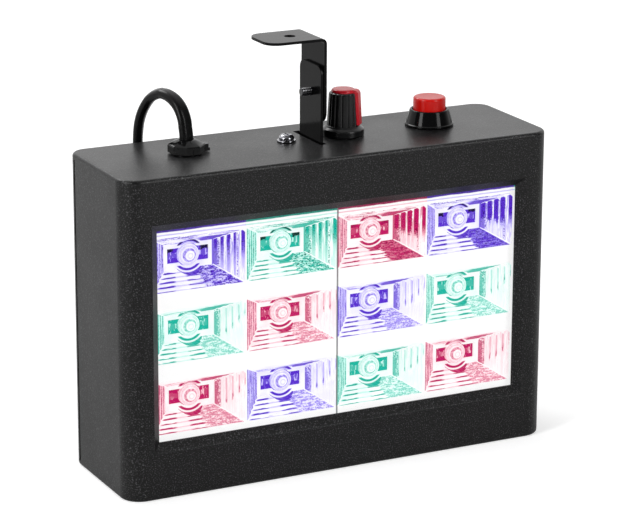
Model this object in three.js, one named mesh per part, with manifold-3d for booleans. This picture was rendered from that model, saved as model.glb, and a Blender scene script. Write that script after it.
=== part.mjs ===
// Mini LED strobe light: a box housing with twelve lamp beads behind two reflector mouldings, a tilting
// bracket of two strips, a speed knob, a push switch and a flat mains cord.
// Millimetres, +Z up, the window faces -Y. The origin is on the ground under the middle of the housing.

import * as THREE from 'three';
import { mergeVertices } from 'three/addons/utils/BufferGeometryUtils.js';
import Module from 'manifold-3d';

const wasm = await Module();
wasm.setup();

// Housing
const BODY_WIDTH = 165;
const BODY_DEPTH = 50;
const BODY_HEIGHT = 114;
const FRONT_CORNER_RADIUS = 7.4;
const REAR_CORNER_RADIUS = 6.2;
const EDGE_RADIUS = 1.2;
const WALL = 2;

// Window: a bevelled frame with a short straight rim behind it
const WINDOW_SIDE_BORDER = 10;
const WINDOW_TOP_BORDER = 16;
const WINDOW_BOTTOM_BORDER = 17;
const BEVEL_INSET = 2.9;
const BEVEL_DEPTH = 2.7;
const WINDOW_RIM = 0.5;

// Clearances
const SEAT_GAP = 0.2;
const RUNNING_GAP = 0.3;
const THREAD_GAP = 0.15;
const OVERRUN = 1;

// Rear cover: a plate with side cheeks, set between the top and bottom walls of the front shell
const COVER_WALL = 2;
const CHEEK_DEPTH = 7;
const SEAM_WIDTH = 1;
const SEAM_DEPTH = 0.9;
const COVER_PAD_RADIUS = 4.6;
const COVER_PAD_DEPTH = 2.4;
const SCREW_SINK = 2.4;
const COVER_BOSS_RADIUS = 3.2;
const COVER_BOSS_SIDE = 6.5;
const COVER_BOSS_END = 6;
const COVER_SCREW_LENGTH = 12;

// Small screws
const SCREW_RADIUS = 1.5;
const SCREW_HEAD_RADIUS = 2.75;
const SCREW_HEAD_HEIGHT = 1.9;
const SCREW_CHAMFER = 0.4;
const RECESS_REACH = 1.5;
const RECESS_WIDTH = 0.6;
const RECESS_DEPTH = 1.1;

// Pane, reflector mouldings and lamp board
const PANE_THICKNESS = 1.8;
const PANE_LAP = 2;
const COLUMNS = 4;
const ROWS = 3;
const REFLECTOR_SIDE_LAP = 0.8;
const REFLECTOR_END_LAP = 0.5;
const REFLECTOR_DROP = 1;
const REFLECTOR_FLANGE = 1.4;
const REFLECTOR_DEPTH = 10.3;
const REFLECTOR_PLATE = 1.2;
const REFLECTOR_WALL = 1.2;
const COLUMN_LAND = 1.2;
const ROW_LAND = 6;
const FLOOR_WIDTH = 18.8;
const FLOOR_HEIGHT = 9.2;
const LEAD_SLOT_WIDTH = 15.8;
const LEAD_SLOT_HEIGHT = 5.5;
const BEAD_HOLE_RADIUS = 5.3;
const BEAD_POCKET_RADIUS = 6.3;
const BEAD_POCKET_REACH = 3.4;
const BOARD_THICKNESS = 1.6;
const LAMP_BOARD_MARGIN = 14.5;
const LAMP_BOARD_BOTTOM = 9;
const LAMP_BOARD_TOP_SPACE = 8;
const LAMP_SCREW_EDGE = 6;
const LAMP_SCREW_LOW = 4;
const LAMP_SCREW_LENGTH = 8;
const LAMP_BOSS_RADIUS = 3;

// Lamp bead
const BEAD_RADIUS = 4;
const BEAD_HEIGHT = 1.7;
const BEAD_CHAMFER = 0.4;
const DOME_RADIUS = 2.75;
const DOME_HEIGHT = 2;
const LEAD_SPAN = 14.4;
const LEAD_WIDTH = 2.4;
const LEAD_THICKNESS = 0.4;

// Row of controls along the top
const CONTROL_SPACE = 10.1;

// Speed knob, modelled from the top face of the housing upward
const KNOB_X = 13.2;
const KNOB_POINTER_TURN = -12;
const KNOB_SKIRT_RADIUS = 7.5;
const KNOB_SKIRT_HEIGHT = 3.2;
const KNOB_SKIRT_CONE = 0.7;
const KNOB_BASE_RADIUS = 5.7;
const KNOB_TOP_RADIUS = 5;
const KNOB_HEIGHT = 15.8;
const KNOB_TOP_CHAMFER = 0.4;
const KNOB_RIBS = 20;
const KNOB_RIB_POINTS = 4;
const KNOB_RIB_DEPTH = 0.2;
const KNOB_CAVITY_RADIUS = 6.3;
const KNOB_ROOF = 0.6;
const KNOB_CAP_RADIUS = 4.6;
const KNOB_CAP_THICKNESS = 0.6;
const KNOB_PLUG_RADIUS = 2.7;
const KNOB_PLUG_DEPTH = 1.1;
const POINTER_WIDTH = 2.8;
const POINTER_RISE = 0.7;
const POINTER_ROOT = 3.9;

// Speed potentiometer
const POT_RADIUS = 8;
const POT_HEIGHT = 8.7;
const POT_BUSHING_RADIUS = 4;
const POT_BUSHING_RISE = 2.5;
const POT_SHAFT_RADIUS = 3;
const POT_SHAFT_DEPTH = 5.5;
const POT_SHAFT_REACH = 13;
const POT_NUT_RADIUS = 5.77;
const POT_NUT_HEIGHT = 1.8;
const POT_LUG_SPACING = 4;
const POT_LUG_WIDTH = 1.4;
const POT_LUG_THICKNESS = 0.6;
const POT_LUG_LENGTH = 6;

// Push switch
const SWITCH_X = 47.8;
const COLLAR_RADIUS = 8.75;
const COLLAR_LIP = 0.8;
const COLLAR_TOP_RADIUS = 6.95;
const COLLAR_HEIGHT = 6;
const BARREL_RADIUS = 7.6;
const BARREL_DEPTH = 16;
const SWITCH_BORE_RADIUS = 6.2;
const SWITCH_FLOOR_DEPTH = 10;
const SWITCH_NUT_RADIUS = 9.2;
const SWITCH_NUT_HEIGHT = 3;
const SWITCH_BLADE_SPACING = 6;
const SWITCH_BLADE_WIDTH = 2.8;
const SWITCH_BLADE_THICKNESS = 0.8;
const SWITCH_BLADE_LENGTH = 6;
const BUTTON_RADIUS = 5.8;
const BUTTON_TOP = 10.5;
const BUTTON_THICKNESS = 7;
const BUTTON_CHAMFER = 0.7;
const BUTTON_STEM_RADIUS = 2.2;
const BUTTON_STEM_LENGTH = 10;
const SPRING_RADIUS = 4.1;
const SPRING_WIRE = 0.7;
const SPRING_TURNS = 6;
const SPRING_SIDES = 5;
const SPRING_TURN_STEPS = 8;

// Cord bushing
const BUSHING_X = -47;
const BUSHING_SETBACK = 0.7;
const BUSHING_RADIUS = 6.5;
const BUSHING_SIDES = 8;
const BUSHING_RIM = 3.3;
const BUSHING_HEIGHT = 4.5;
const BUSHING_TOP_RADIUS = 5.3;
const BUSHING_NECK_RADIUS = 5.3;
const BUSHING_BARB_RADIUS = 6.1;
const BUSHING_BARB_SLOPE = 2.4;
const BUSHING_DEPTH = 10;
const BUSHING_MOUTH_DEPTH = 1.5;
const BUSHING_LUG_REACH = 8.2;
const BUSHING_LUG_WIDTH = 3.6;
const BUSHING_LUG_HEIGHT = 2.8;

// Bracket: two strips of sheet steel joined by a pivot screw
const STRIP_THICKNESS = 1;
const LOWER_STRIP_X = 0.2;
const LOWER_STRIP_WIDTH = 16.6;
const LOWER_STRIP_HEIGHT = 27.3;
const LOWER_STRIP_CORNER = 3;
const LOWER_FOOT_LENGTH = 18.2;
const LOWER_BEND_RADIUS = 0.4;
const SLOT_SIDE_SPACE = 0.8;
const SLOT_FRONT_SPACE = 1.4;
const SLOT_REAR_SPACE = 4;
const PIVOT_HEIGHT = 17.1;
const PIVOT_SCREW_PROUD = 3.7;
const UPPER_STRIP_WIDTH = 18;
const UPPER_STRIP_SETBACK = 0.6;
const UPPER_STRIP_DROP = 10.1;
const UPPER_STRIP_RISE = 20.2;
const UPPER_STRIP_CORNER = 4;
const FLANGE_LENGTH = 22.3;
const FLANGE_CORNER = 5;
const FLANGE_HOLE_RADIUS = 2;
const FLANGE_HOLE_INSET = 12.3;
const UPPER_BEND_RADIUS = 1;
const FOOT_SCREW_X = -9;
const FOOT_SCREW_LENGTH = 7.5;
const FOOT_WASHER_RADIUS = 3.35;
const FOOT_WASHER_THICKNESS = 0.5;
const FOOT_NUT_RADIUS = 3.2;
const FOOT_NUT_HEIGHT = 2.4;

// Driver board on posts of the rear cover, with its parts on the front
const DRIVER_WIDTH = 108;
const DRIVER_BOTTOM = 24;
const DRIVER_TOP = 76;
const DRIVER_POST_SHARE = 0.27;
const DRIVER_POST_RADIUS = 3;
const DRIVER_POST_INSET = 5;
const DRIVER_SCREW_LENGTH = 6;
const TRANSFORMER_PLACE_SHARE = -0.39;
const TRANSFORMER_WIDTH = 18;
const TRANSFORMER_HEIGHT = 16;
const TRANSFORMER_DEPTH_SHARE = 0.63;
const CAPACITOR_PLACE_SHARE = 0.04;
const CAPACITOR_RADIUS = 4;
const CAPACITOR_LENGTH = 12;
const TRANSISTOR_PLACE_SHARE = 0.44;
const TRANSISTOR_PITCH = 8;
const TRANSISTOR_WIDTH = 4.8;
const TRANSISTOR_HEIGHT = 4.8;
const TRANSISTOR_DEPTH = 3.8;
const TRANSISTOR_LIFT = 8;
const TERMINAL_PLACE_SHARE = -0.78;
const TERMINAL_WIDTH = 12;
const TERMINAL_HEIGHT = 9;
const TERMINAL_DEPTH_SHARE = 0.43;
const TERMINAL_DROP = 16;

// Inner leads: flat ribbons of round cores
const CORE_DIAMETER = 1.4;
const LEAD_SIDES = 6;
const LEAD_STEPS = 10;
const LEAD_BEND = 4;
const LEAD_EARLY_SHARE = 0.2;
const LEAD_LATE_SHARE = 0.6;
const LEAD_END_Z = 60;
const LAMP_LEAD_X = 14;
const LAMP_LEAD_START_Z = 46;
const LAMP_LEAD_END_Z = 34;
const LAMP_LEAD_SAG = 1;

// Mains cord: a flat twin cord that rises, arches back over the housing and drops behind it to the
// ground. It lies in one upright plane through the bushing, turned from straight back by CORD_TURN, and
// its points are the distance behind the bushing and the height.
const CORD_WIDTH = 5.2;
const CORD_THICKNESS = 3.4;
const CORD_LIFT = 0.2;
const CORD_SIDES = 8;
const CORD_STEPS = 46;
const CORD_TURN = 14.25;
const CORD_POINTS = [
  [0, 120],
  [0.4, 122.4],
  [1.1, 125.8],
  [3.5, 129.5],
  [7.4, 131.9],
  [13.2, 132.6],
  [19.0, 130.3],
  [23.4, 125.8],
  [26.0, 121.1],
  [27.2, 116],
  [27.6, 106],
  [27.9, 75],
  [28.0, 40],
  [28.0, 21.9],
  [29.5, 14.2],
  [33.9, 7.8],
  [40.3, 3.4],
  [48.0, 1.9],
];

// Coiled rest of the cord, flat on the ground close behind the housing
const COIL_RADIUS = 32.2;
const COIL_PITCH = 5.8;
const COIL_LAYER_RISE = 3.9;
const COIL_TURNS = 4.25;
const COIL_CLIMB_TURNS = 0.5;
const COIL_TURN_STEPS = 24;
const COIL_SIDES = 6;

// Tail of the cord, from the coil to the plug
const TAIL_STRAIGHT = 34;
const TAIL_RADIUS = 21;
const TAIL_DIP_START = 16;
const TAIL_STEPS = 16;

// Plug with two round pins
const PLUG_LENGTH = 35;
const PLUG_WIDTH = 35.3;
const PLUG_NECK_WIDTH = 14;
const PLUG_NECK_LENGTH = 8;
const PLUG_SHOULDER_LENGTH = 22;
const PLUG_EDGE = 1;
const PIN_RADIUS = 2;
const PIN_LENGTH = 19;
const PIN_SPACING = 19;
const PIN_ROUND = 1.2;

// Facet counts
const ARC_STEPS = 3;
const FINE_SIDES = 36;
const ROUND_SIDES = 20;
const SMALL_SIDES = 12;
const HEX_SIDES = 6;
const EDGE_STEPS = 2;
const WELD = 1e-4;

// Places worked out from the sizes above
const SIDE_X = BODY_WIDTH / 2;
const FRONT_Y = -BODY_DEPTH / 2;
const BACK_Y = BODY_DEPTH / 2;
const FRONT_WALL = BEVEL_DEPTH + WINDOW_RIM;
const INNER_FRONT_Y = FRONT_Y + FRONT_WALL;
const INNER_TOP = BODY_HEIGHT - WALL;
const BEVEL_X = SIDE_X - WINDOW_SIDE_BORDER;
const BEVEL_BOTTOM = WINDOW_BOTTOM_BORDER;
const BEVEL_TOP = BODY_HEIGHT - WINDOW_TOP_BORDER;
const APERTURE_X = BEVEL_X - BEVEL_INSET;
const APERTURE_BOTTOM = BEVEL_BOTTOM + BEVEL_INSET;
const APERTURE_TOP = BEVEL_TOP - BEVEL_INSET;
const PANE_FRONT = INNER_FRONT_Y + SEAT_GAP;
const PANE_BACK = PANE_FRONT + PANE_THICKNESS;
const REFLECTOR_FRONT = PANE_BACK + SEAT_GAP;
const REFLECTOR_BACK = REFLECTOR_FRONT + REFLECTOR_DEPTH;
const REFLECTOR_FLOOR = REFLECTOR_BACK - REFLECTOR_WALL;
const REFLECTOR_MIDDLE = (APERTURE_BOTTOM + APERTURE_TOP) / 2 - REFLECTOR_DROP;
const COLUMN_PITCH = (2 * APERTURE_X + 2 * REFLECTOR_SIDE_LAP) / COLUMNS;
const ROW_PITCH = (APERTURE_TOP - APERTURE_BOTTOM + 2 * REFLECTOR_END_LAP) / ROWS;
const CELL_WIDTH = COLUMN_PITCH - COLUMN_LAND;
const CELL_HEIGHT = ROW_PITCH - ROW_LAND;
const LAMP_BOARD_FRONT = REFLECTOR_BACK + SEAT_GAP;
const LAMP_BOARD_BACK = LAMP_BOARD_FRONT + BOARD_THICKNESS;
const LAMP_BOARD_X = SIDE_X - LAMP_BOARD_MARGIN;
const LAMP_BOARD_TOP = BODY_HEIGHT - LAMP_BOARD_TOP_SPACE;
const LAMP_SCREW_X = LAMP_BOARD_X - LAMP_SCREW_EDGE;
const LAMP_SCREW_ZS = [LAMP_BOARD_BOTTOM + LAMP_SCREW_LOW, LAMP_BOARD_TOP - LAMP_SCREW_LOW];
const CONTROL_Y = LAMP_BOARD_BACK + CONTROL_SPACE;
const COVER_FRONT_Y = BACK_Y - CHEEK_DEPTH;
const COVER_INNER_Y = BACK_Y - COVER_WALL;
const COVER_PAD_Y = COVER_INNER_Y - COVER_PAD_DEPTH;
const COVER_BOSS_X = SIDE_X - WALL - COVER_BOSS_SIDE;
const COVER_BOSS_ZS = [WALL + COVER_BOSS_END, INNER_TOP - COVER_BOSS_END];
const DRIVER_POST_LENGTH = DRIVER_POST_SHARE * (COVER_INNER_Y - LAMP_BOARD_BACK);
const DRIVER_BACK_Y = COVER_INNER_Y - DRIVER_POST_LENGTH - SEAT_GAP;
const DRIVER_FRONT_Y = DRIVER_BACK_Y - BOARD_THICKNESS;
const DRIVER_X = DRIVER_WIDTH / 2;
const DRIVER_SCREW_X = DRIVER_X - DRIVER_POST_INSET;
const DRIVER_SCREW_Z = DRIVER_TOP - DRIVER_POST_INSET;
const DRIVER_POST_ZS = [DRIVER_BOTTOM + DRIVER_POST_INSET, DRIVER_SCREW_Z];
const DRIVER_MIDDLE_Z = (DRIVER_BOTTOM + DRIVER_TOP) / 2;
const PARTS_Y = DRIVER_FRONT_Y - SEAT_GAP;
const PARTS_ROOM = PARTS_Y - LAMP_BOARD_BACK;
const TRANSFORMER_X = TRANSFORMER_PLACE_SHARE * DRIVER_X;
const TRANSFORMER_DEPTH = TRANSFORMER_DEPTH_SHARE * PARTS_ROOM;
const CAPACITOR_X = CAPACITOR_PLACE_SHARE * DRIVER_X;
const TRANSISTOR_X = TRANSISTOR_PLACE_SHARE * DRIVER_X;
const TERMINAL_X = TERMINAL_PLACE_SHARE * DRIVER_X;
const TERMINAL_DEPTH = TERMINAL_DEPTH_SHARE * PARTS_ROOM;
const SIDES = [-1, 1];
const POT_LUG_PLACES = [-1, 0, 1];
const UPPER_STRIP_X = LOWER_STRIP_X + STRIP_THICKNESS + RUNNING_GAP;
const CORD_REST_Z = CORD_THICKNESS / 2 + CORD_LIFT;
const COIL_UPPER_Z = CORD_REST_Z + COIL_LAYER_RISE;

// A closed geometry becomes a solid for the joins and cuts, and comes back as a geometry.

function toSolid(geometry) {
  const bare = geometry.clone();
  bare.deleteAttribute('normal');
  bare.deleteAttribute('uv');
  const merged = mergeVertices(bare, WELD);
  const index = merged.index.array;
  const triangles = [];
  for (let i = 0; i < index.length; i += 3) {
    const [a, b, c] = [index[i], index[i + 1], index[i + 2]];
    if (a !== b && b !== c && c !== a) triangles.push(a, b, c);
  }
  const mesh = new wasm.Mesh({
    numProp: 3,
    vertProperties: Float32Array.from(merged.attributes.position.array),
    triVerts: Uint32Array.from(triangles),
  });
  return new wasm.Manifold(mesh);
}

function toGeometry(solid) {
  const mesh = solid.getMesh();
  const geometry = new THREE.BufferGeometry();
  geometry.setAttribute('position', new THREE.BufferAttribute(mesh.vertProperties, 3));
  geometry.setIndex(new THREE.BufferAttribute(mesh.triVerts, 1));
  return geometry;
}

function join(solids) {
  return solids.reduce((whole, solid) => whole.add(solid));
}

function cut(solid, tools) {
  return tools.reduce((rest, tool) => rest.subtract(tool), solid);
}

// Basic solids, each given by the places where it starts and ends

function box(x0, x1, y0, y1, z0, z1) {
  const geometry = new THREE.BoxGeometry(x1 - x0, y1 - y0, z1 - z0);
  return toSolid(geometry.translate((x0 + x1) / 2, (y0 + y1) / 2, (z0 + z1) / 2));
}

function rodX(radius, y, z, x0, x1, sides = SMALL_SIDES) {
  const geometry = new THREE.CylinderGeometry(radius, radius, x1 - x0, sides);
  return toSolid(geometry.rotateZ(Math.PI / 2).translate((x0 + x1) / 2, y, z));
}

function rodY(radius, x, z, y0, y1, sides = SMALL_SIDES) {
  const geometry = new THREE.CylinderGeometry(radius, radius, y1 - y0, sides);
  return toSolid(geometry.translate(x, (y0 + y1) / 2, z));
}

function rodZ(radius, x, y, z0, z1, sides = SMALL_SIDES) {
  const geometry = new THREE.CylinderGeometry(radius, radius, z1 - z0, sides);
  return toSolid(geometry.rotateX(Math.PI / 2).translate(x, y, (z0 + z1) / 2));
}

function slab(shape, z0, z1) {
  const options = { depth: z1 - z0, bevelEnabled: false, curveSegments: ARC_STEPS };
  return toSolid(new THREE.ExtrudeGeometry(shape, options).translate(0, 0, z0));
}

// A shape drawn in y and z, drawn out along X
function slabX(shape, x0, x1) {
  const options = { depth: x1 - x0, bevelEnabled: false, curveSegments: ARC_STEPS };
  const geometry = new THREE.ExtrudeGeometry(shape, options);
  const axes = [new THREE.Vector3(0, 1, 0), new THREE.Vector3(0, 0, 1), new THREE.Vector3(1, 0, 0)];
  return toSolid(geometry.applyMatrix4(new THREE.Matrix4().makeBasis(...axes)).translate(x0, 0, 0));
}

// A shape drawn in x and z, drawn out along Y
function slabY(shape, y0, y1) {
  const options = { depth: y1 - y0, bevelEnabled: false, curveSegments: ARC_STEPS };
  const geometry = new THREE.ExtrudeGeometry(shape, options);
  return toSolid(geometry.rotateX(Math.PI / 2).translate(0, y1, 0));
}

// A body of revolution about Z, from a profile of radius and height that runs upward on its outside
function turned(profile, sides = ROUND_SIDES) {
  const points = profile.map(([radius, height]) => new THREE.Vector2(radius, height));
  return toSolid(new THREE.LatheGeometry(points, sides).rotateX(Math.PI / 2));
}

// A ring whose hole has its flats at the inner radius
function ring(innerRadius, outerRadius, z0, z1, outerSides = ROUND_SIDES) {
  const blank = rodZ(outerRadius, 0, 0, z0, z1, outerSides);
  const cornerRadius = innerRadius / Math.cos(Math.PI / ROUND_SIDES);
  return cut(blank, [rodZ(cornerRadius, 0, 0, z0 - OVERRUN, z1 + OVERRUN, ROUND_SIDES)]);
}

// A skin over rings of equal point count, with a fan over each end
function loft(rings) {
  const count = rings[0].length;
  const positions = rings.flat().flatMap((point) => point.toArray());
  const middle = (points) => points.reduce((sum, point) => sum.add(point), new THREE.Vector3());
  for (const end of [rings[0], rings.at(-1)]) {
    positions.push(...middle(end).divideScalar(count).toArray());
  }
  const index = [];
  const startCentre = rings.length * count;
  const last = (rings.length - 1) * count;
  for (let j = 0; j < count; j += 1) {
    const next = (j + 1) % count;
    for (let i = 0; i < last; i += count) {
      index.push(i + j, i + next, i + count + next);
      index.push(i + j, i + count + next, i + count + j);
    }
    index.push(startCentre, next, j);
    index.push(startCentre + 1, last + j, last + next);
  }
  const geometry = new THREE.BufferGeometry();
  geometry.setAttribute('position', new THREE.Float32BufferAttribute(positions, 3));
  geometry.setIndex(index);
  return geometry;
}

// A block that tapers between two upright rectangles, each given as x0, x1, z0, z1 and y
function taperedBlock(near, far) {
  const corners = ([x0, x1, z0, z1, y]) => [
    new THREE.Vector3(x0, y, z0),
    new THREE.Vector3(x0, y, z1),
    new THREE.Vector3(x1, y, z1),
    new THREE.Vector3(x1, y, z0),
  ];
  return toSolid(loft([corners(near), corners(far)]));
}

// A rectangle with its four corner radii, counted from x0, y0 the way round by x1, y0
function roundedShape(x0, x1, y0, y1, radii) {
  const [a, b, c, d] = radii;
  const shape = new THREE.Shape();
  shape.moveTo(x0 + a, y0);
  shape.lineTo(x1 - b, y0);
  if (b > 0) shape.absarc(x1 - b, y0 + b, b, -Math.PI / 2, 0);
  shape.lineTo(x1, y1 - c);
  if (c > 0) shape.absarc(x1 - c, y1 - c, c, 0, Math.PI / 2);
  shape.lineTo(x0 + d, y1);
  if (d > 0) shape.absarc(x0 + d, y1 - d, d, Math.PI / 2, Math.PI);
  shape.lineTo(x0, y0 + a);
  if (a > 0) shape.absarc(x0 + a, y0 + a, a, Math.PI, 1.5 * Math.PI);
  return shape;
}

// The outline of a flat twin cord: a strip with round edges
function flatSection(width, thickness, sides) {
  const radius = thickness / 2;
  const flat = width / 2 - radius;
  const points = [];
  for (let i = 0; i < sides; i += 1) {
    const angle = ((i + 0.5) / sides) * 2 * Math.PI;
    const side = Math.sign(Math.cos(angle)) * flat;
    points.push(new THREE.Vector2(side + radius * Math.cos(angle), radius * Math.sin(angle)));
  }
  return points;
}

function roundSection(radius, sides) {
  const points = [];
  for (let i = 0; i < sides; i += 1) {
    const angle = (i / sides) * 2 * Math.PI;
    points.push(new THREE.Vector2(radius * Math.cos(angle), radius * Math.sin(angle)));
  }
  return points;
}

// A plain tube through points, with a section drawn out along the curve
function tube(points, section, steps) {
  const curve = new THREE.CatmullRomCurve3(points.map((point) => new THREE.Vector3(...point)));
  const options = { steps, extrudePath: curve, bevelEnabled: false };
  return new THREE.ExtrudeGeometry(new THREE.Shape(section), options);
}

// Rings of a section square to a level or climbing path, for a coil or a spring
function woundRings(points, section) {
  const up = new THREE.Vector3(0, 0, 1);
  return points.map((point, i) => {
    const before = points[Math.max(i - 1, 0)];
    const after = points[Math.min(i + 1, points.length - 1)];
    const along = after.clone().sub(before).normalize();
    const side = up.clone().cross(along).normalize();
    const rise = along.clone().cross(side);
    return section.map(({ x, y }) => point.clone().addScaledVector(side, x).addScaledVector(rise, y));
  });
}

// The least distance between points of a wound tube that lie at least half a turn apart along it
function leastGap(rings, stepsApart) {
  let least = Infinity;
  for (let i = 0; i < rings.length; i += 1) {
    for (let j = i + stepsApart; j < rings.length; j += 1) {
      for (const a of rings[i]) {
        for (const b of rings[j]) least = Math.min(least, a.distanceTo(b));
      }
    }
  }
  return least;
}

// A pan head screw with a cross recess: its head stands up from z = 0 and its shank hangs below
function crossScrew(length) {
  const headEnd = SCREW_HEAD_RADIUS - SCREW_CHAMFER;
  const body = turned([
    [0, -length],
    [SCREW_RADIUS, -length],
    [SCREW_RADIUS, 0],
    [SCREW_HEAD_RADIUS, 0],
    [SCREW_HEAD_RADIUS, SCREW_HEAD_HEIGHT - SCREW_CHAMFER],
    [headEnd, SCREW_HEAD_HEIGHT],
    [0, SCREW_HEAD_HEIGHT],
  ], SMALL_SIDES);
  const half = RECESS_WIDTH / 2;
  const floor = SCREW_HEAD_HEIGHT - RECESS_DEPTH;
  const roof = SCREW_HEAD_HEIGHT + OVERRUN;
  const across = box(-RECESS_REACH, RECESS_REACH, -half, half, floor, roof);
  const along = box(-half, half, -RECESS_REACH, RECESS_REACH, floor, roof);
  return toGeometry(cut(body, [across, along]));
}

function surface(colour, roughness, metalness = 0) {
  return new THREE.MeshStandardMaterial({ color: colour, roughness, metalness });
}

// Finishes
const SATIN_BLACK = surface(0x1b1b1d, 0.5);
const GLOSS_BLACK = surface(0x0b0b0c, 0.2);
const SOFT_BLACK = surface(0x141415, 0.6);
const RED = surface(0xc01616, 0.35);
const CLEAR = surface(0xe8eef0, 0.08);
const MIRROR = surface(0xd8dade, 0.12, 1);
const CHROME = surface(0xd4d6d8, 0.15, 1);
const STEEL = surface(0x9a9ca0, 0.4, 1);
const BRACKET_BLACK = surface(0x101012, 0.3, 0.4);
const BOARD_WHITE = surface(0xe6e6e0, 0.5);
const BOARD_GREEN = surface(0x1f5a36, 0.5);
const BEAD_PURPLE = surface(0x7a40d8, 0.4);
const BEAD_TEAL = surface(0x20b8a4, 0.4);
const BEAD_CRIMSON = surface(0xc81860, 0.4);
const BEAD_COLOURS = [BEAD_PURPLE, BEAD_TEAL, BEAD_CRIMSON];
const CORE_YELLOW = surface(0xc8a030, 0.6);
const CAN_BLUE = surface(0x20386a, 0.4);
const WIRE_WHITE = surface(0xd8d8d4, 0.6);
const WIRE_BLUE = surface(0x3a5a9a, 0.6);
const WIRE_RED = surface(0xa03028, 0.6);
const TERMINAL_GREEN = surface(0x2f7a4a, 0.5);

const strobe = new THREE.Group();

// A solid or geometry becomes a named piece of the light
function piece(name, form, material, parent = strobe) {
  const geometry = form.isBufferGeometry ? form : toGeometry(form);
  const mesh = new THREE.Mesh(geometry, material);
  mesh.name = name;
  parent.add(mesh);
}

// Alike pieces share a geometry, and each has its own name and place
function pieces(geometry, material, places, parent = strobe) {
  for (const [name, ...place] of places) {
    const mesh = new THREE.Mesh(geometry, material);
    mesh.name = name;
    mesh.position.set(...place);
    parent.add(mesh);
  }
}

// Places at both sides and several heights, each with a name counted from 1
function mirroredPlaces(name, x, y, heights) {
  const places = SIDES.flatMap((side) => heights.map((z) => [side * x, y, z]));
  return places.map((place, i) => [`${name}_${i + 1}`, ...place]);
}

// A group on the row of controls, with its own origin on the top face of the housing
function controlGroup(x, setback = 0) {
  const group = new THREE.Group();
  group.position.set(x, CONTROL_Y + setback, BODY_HEIGHT);
  strobe.add(group);
  return group;
}

function housingOutline(inset, frontRadius, rearRadius) {
  const x = SIDE_X - inset;
  const radii = [frontRadius, frontRadius, rearRadius, rearRadius];
  return roundedShape(-x, x, FRONT_Y + inset, BACK_Y - inset, radii);
}

// Four bosses on the front wall carry the lamp board
function lampBosses() {
  const solids = [];
  for (const side of SIDES) {
    for (const z of LAMP_SCREW_ZS) {
      const start = FRONT_Y + FRONT_WALL / 2;
      solids.push(rodY(LAMP_BOSS_RADIUS, side * LAMP_SCREW_X, z, start, LAMP_BOARD_FRONT - SEAT_GAP));
    }
  }
  return solids;
}

// Four bosses, each with a web to the side wall, take the rear cover screws
function coverBosses() {
  const solids = [];
  const end = COVER_PAD_Y - RUNNING_GAP;
  const start = FRONT_Y + FRONT_WALL / 2;
  for (const side of SIDES) {
    const x = side * COVER_BOSS_X;
    const wallX = side * (SIDE_X - WALL / 2);
    for (const z of COVER_BOSS_ZS) {
      solids.push(rodY(COVER_BOSS_RADIUS, x, z, start, end));
      const webStart = FRONT_Y + FRONT_CORNER_RADIUS;
      const webEnd = COVER_FRONT_Y - RUNNING_GAP;
      const half = WALL / 2;
      solids.push(box(Math.min(x, wallX), Math.max(x, wallX), webStart, webEnd, z - half, z + half));
    }
  }
  return solids;
}

function bossHoles() {
  const tools = [];
  const radius = SCREW_RADIUS + THREAD_GAP;
  const lampStart = LAMP_BOARD_BACK + SEAT_GAP - LAMP_SCREW_LENGTH - OVERRUN;
  const coverStart = BACK_Y - SCREW_SINK - COVER_SCREW_LENGTH - OVERRUN;
  for (const side of SIDES) {
    for (const z of LAMP_SCREW_ZS) {
      tools.push(rodY(radius, side * LAMP_SCREW_X, z, lampStart, LAMP_BOARD_BACK));
    }
    for (const z of COVER_BOSS_ZS) {
      tools.push(rodY(radius, side * COVER_BOSS_X, z, coverStart, BACK_Y));
    }
  }
  return tools;
}

// The window: a bevelled cut that narrows inward, then the straight rim
function windowCuts() {
  const spread = (OVERRUN * BEVEL_INSET) / BEVEL_DEPTH;
  const near = [
    -BEVEL_X - spread,
    BEVEL_X + spread,
    BEVEL_BOTTOM - spread,
    BEVEL_TOP + spread,
    FRONT_Y - OVERRUN,
  ];
  const far = [-APERTURE_X, APERTURE_X, APERTURE_BOTTOM, APERTURE_TOP, FRONT_Y + BEVEL_DEPTH];
  const rim = box(-APERTURE_X, APERTURE_X, FRONT_Y, INNER_FRONT_Y + OVERRUN, APERTURE_BOTTOM, APERTURE_TOP);
  return [taperedBlock(near, far), rim];
}

// Holes and the bracket slot in the top wall
function topCuts() {
  const low = INNER_TOP - OVERRUN;
  const high = BODY_HEIGHT + OVERRUN;
  const slotX0 = LOWER_STRIP_X - SLOT_SIDE_SPACE;
  const slotX1 = LOWER_STRIP_X + STRIP_THICKNESS + SLOT_SIDE_SPACE;
  const slotY0 = CONTROL_Y - LOWER_STRIP_WIDTH / 2 - SLOT_FRONT_SPACE;
  const slotY1 = CONTROL_Y + LOWER_STRIP_WIDTH / 2 + SLOT_REAR_SPACE;
  return [
    rodZ(POT_BUSHING_RADIUS + RUNNING_GAP, KNOB_X, CONTROL_Y, low, high, ROUND_SIDES),
    rodZ(BARREL_RADIUS + RUNNING_GAP, SWITCH_X, CONTROL_Y, low, high, ROUND_SIDES),
    rodZ(BUSHING_NECK_RADIUS + RUNNING_GAP, BUSHING_X, CONTROL_Y + BUSHING_SETBACK, low, high, ROUND_SIDES),
    rodZ(SCREW_RADIUS + RUNNING_GAP, FOOT_SCREW_X, CONTROL_Y, low, high),
    box(slotX0, slotX1, slotY0, slotY1, low, high),
  ];
}

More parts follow.
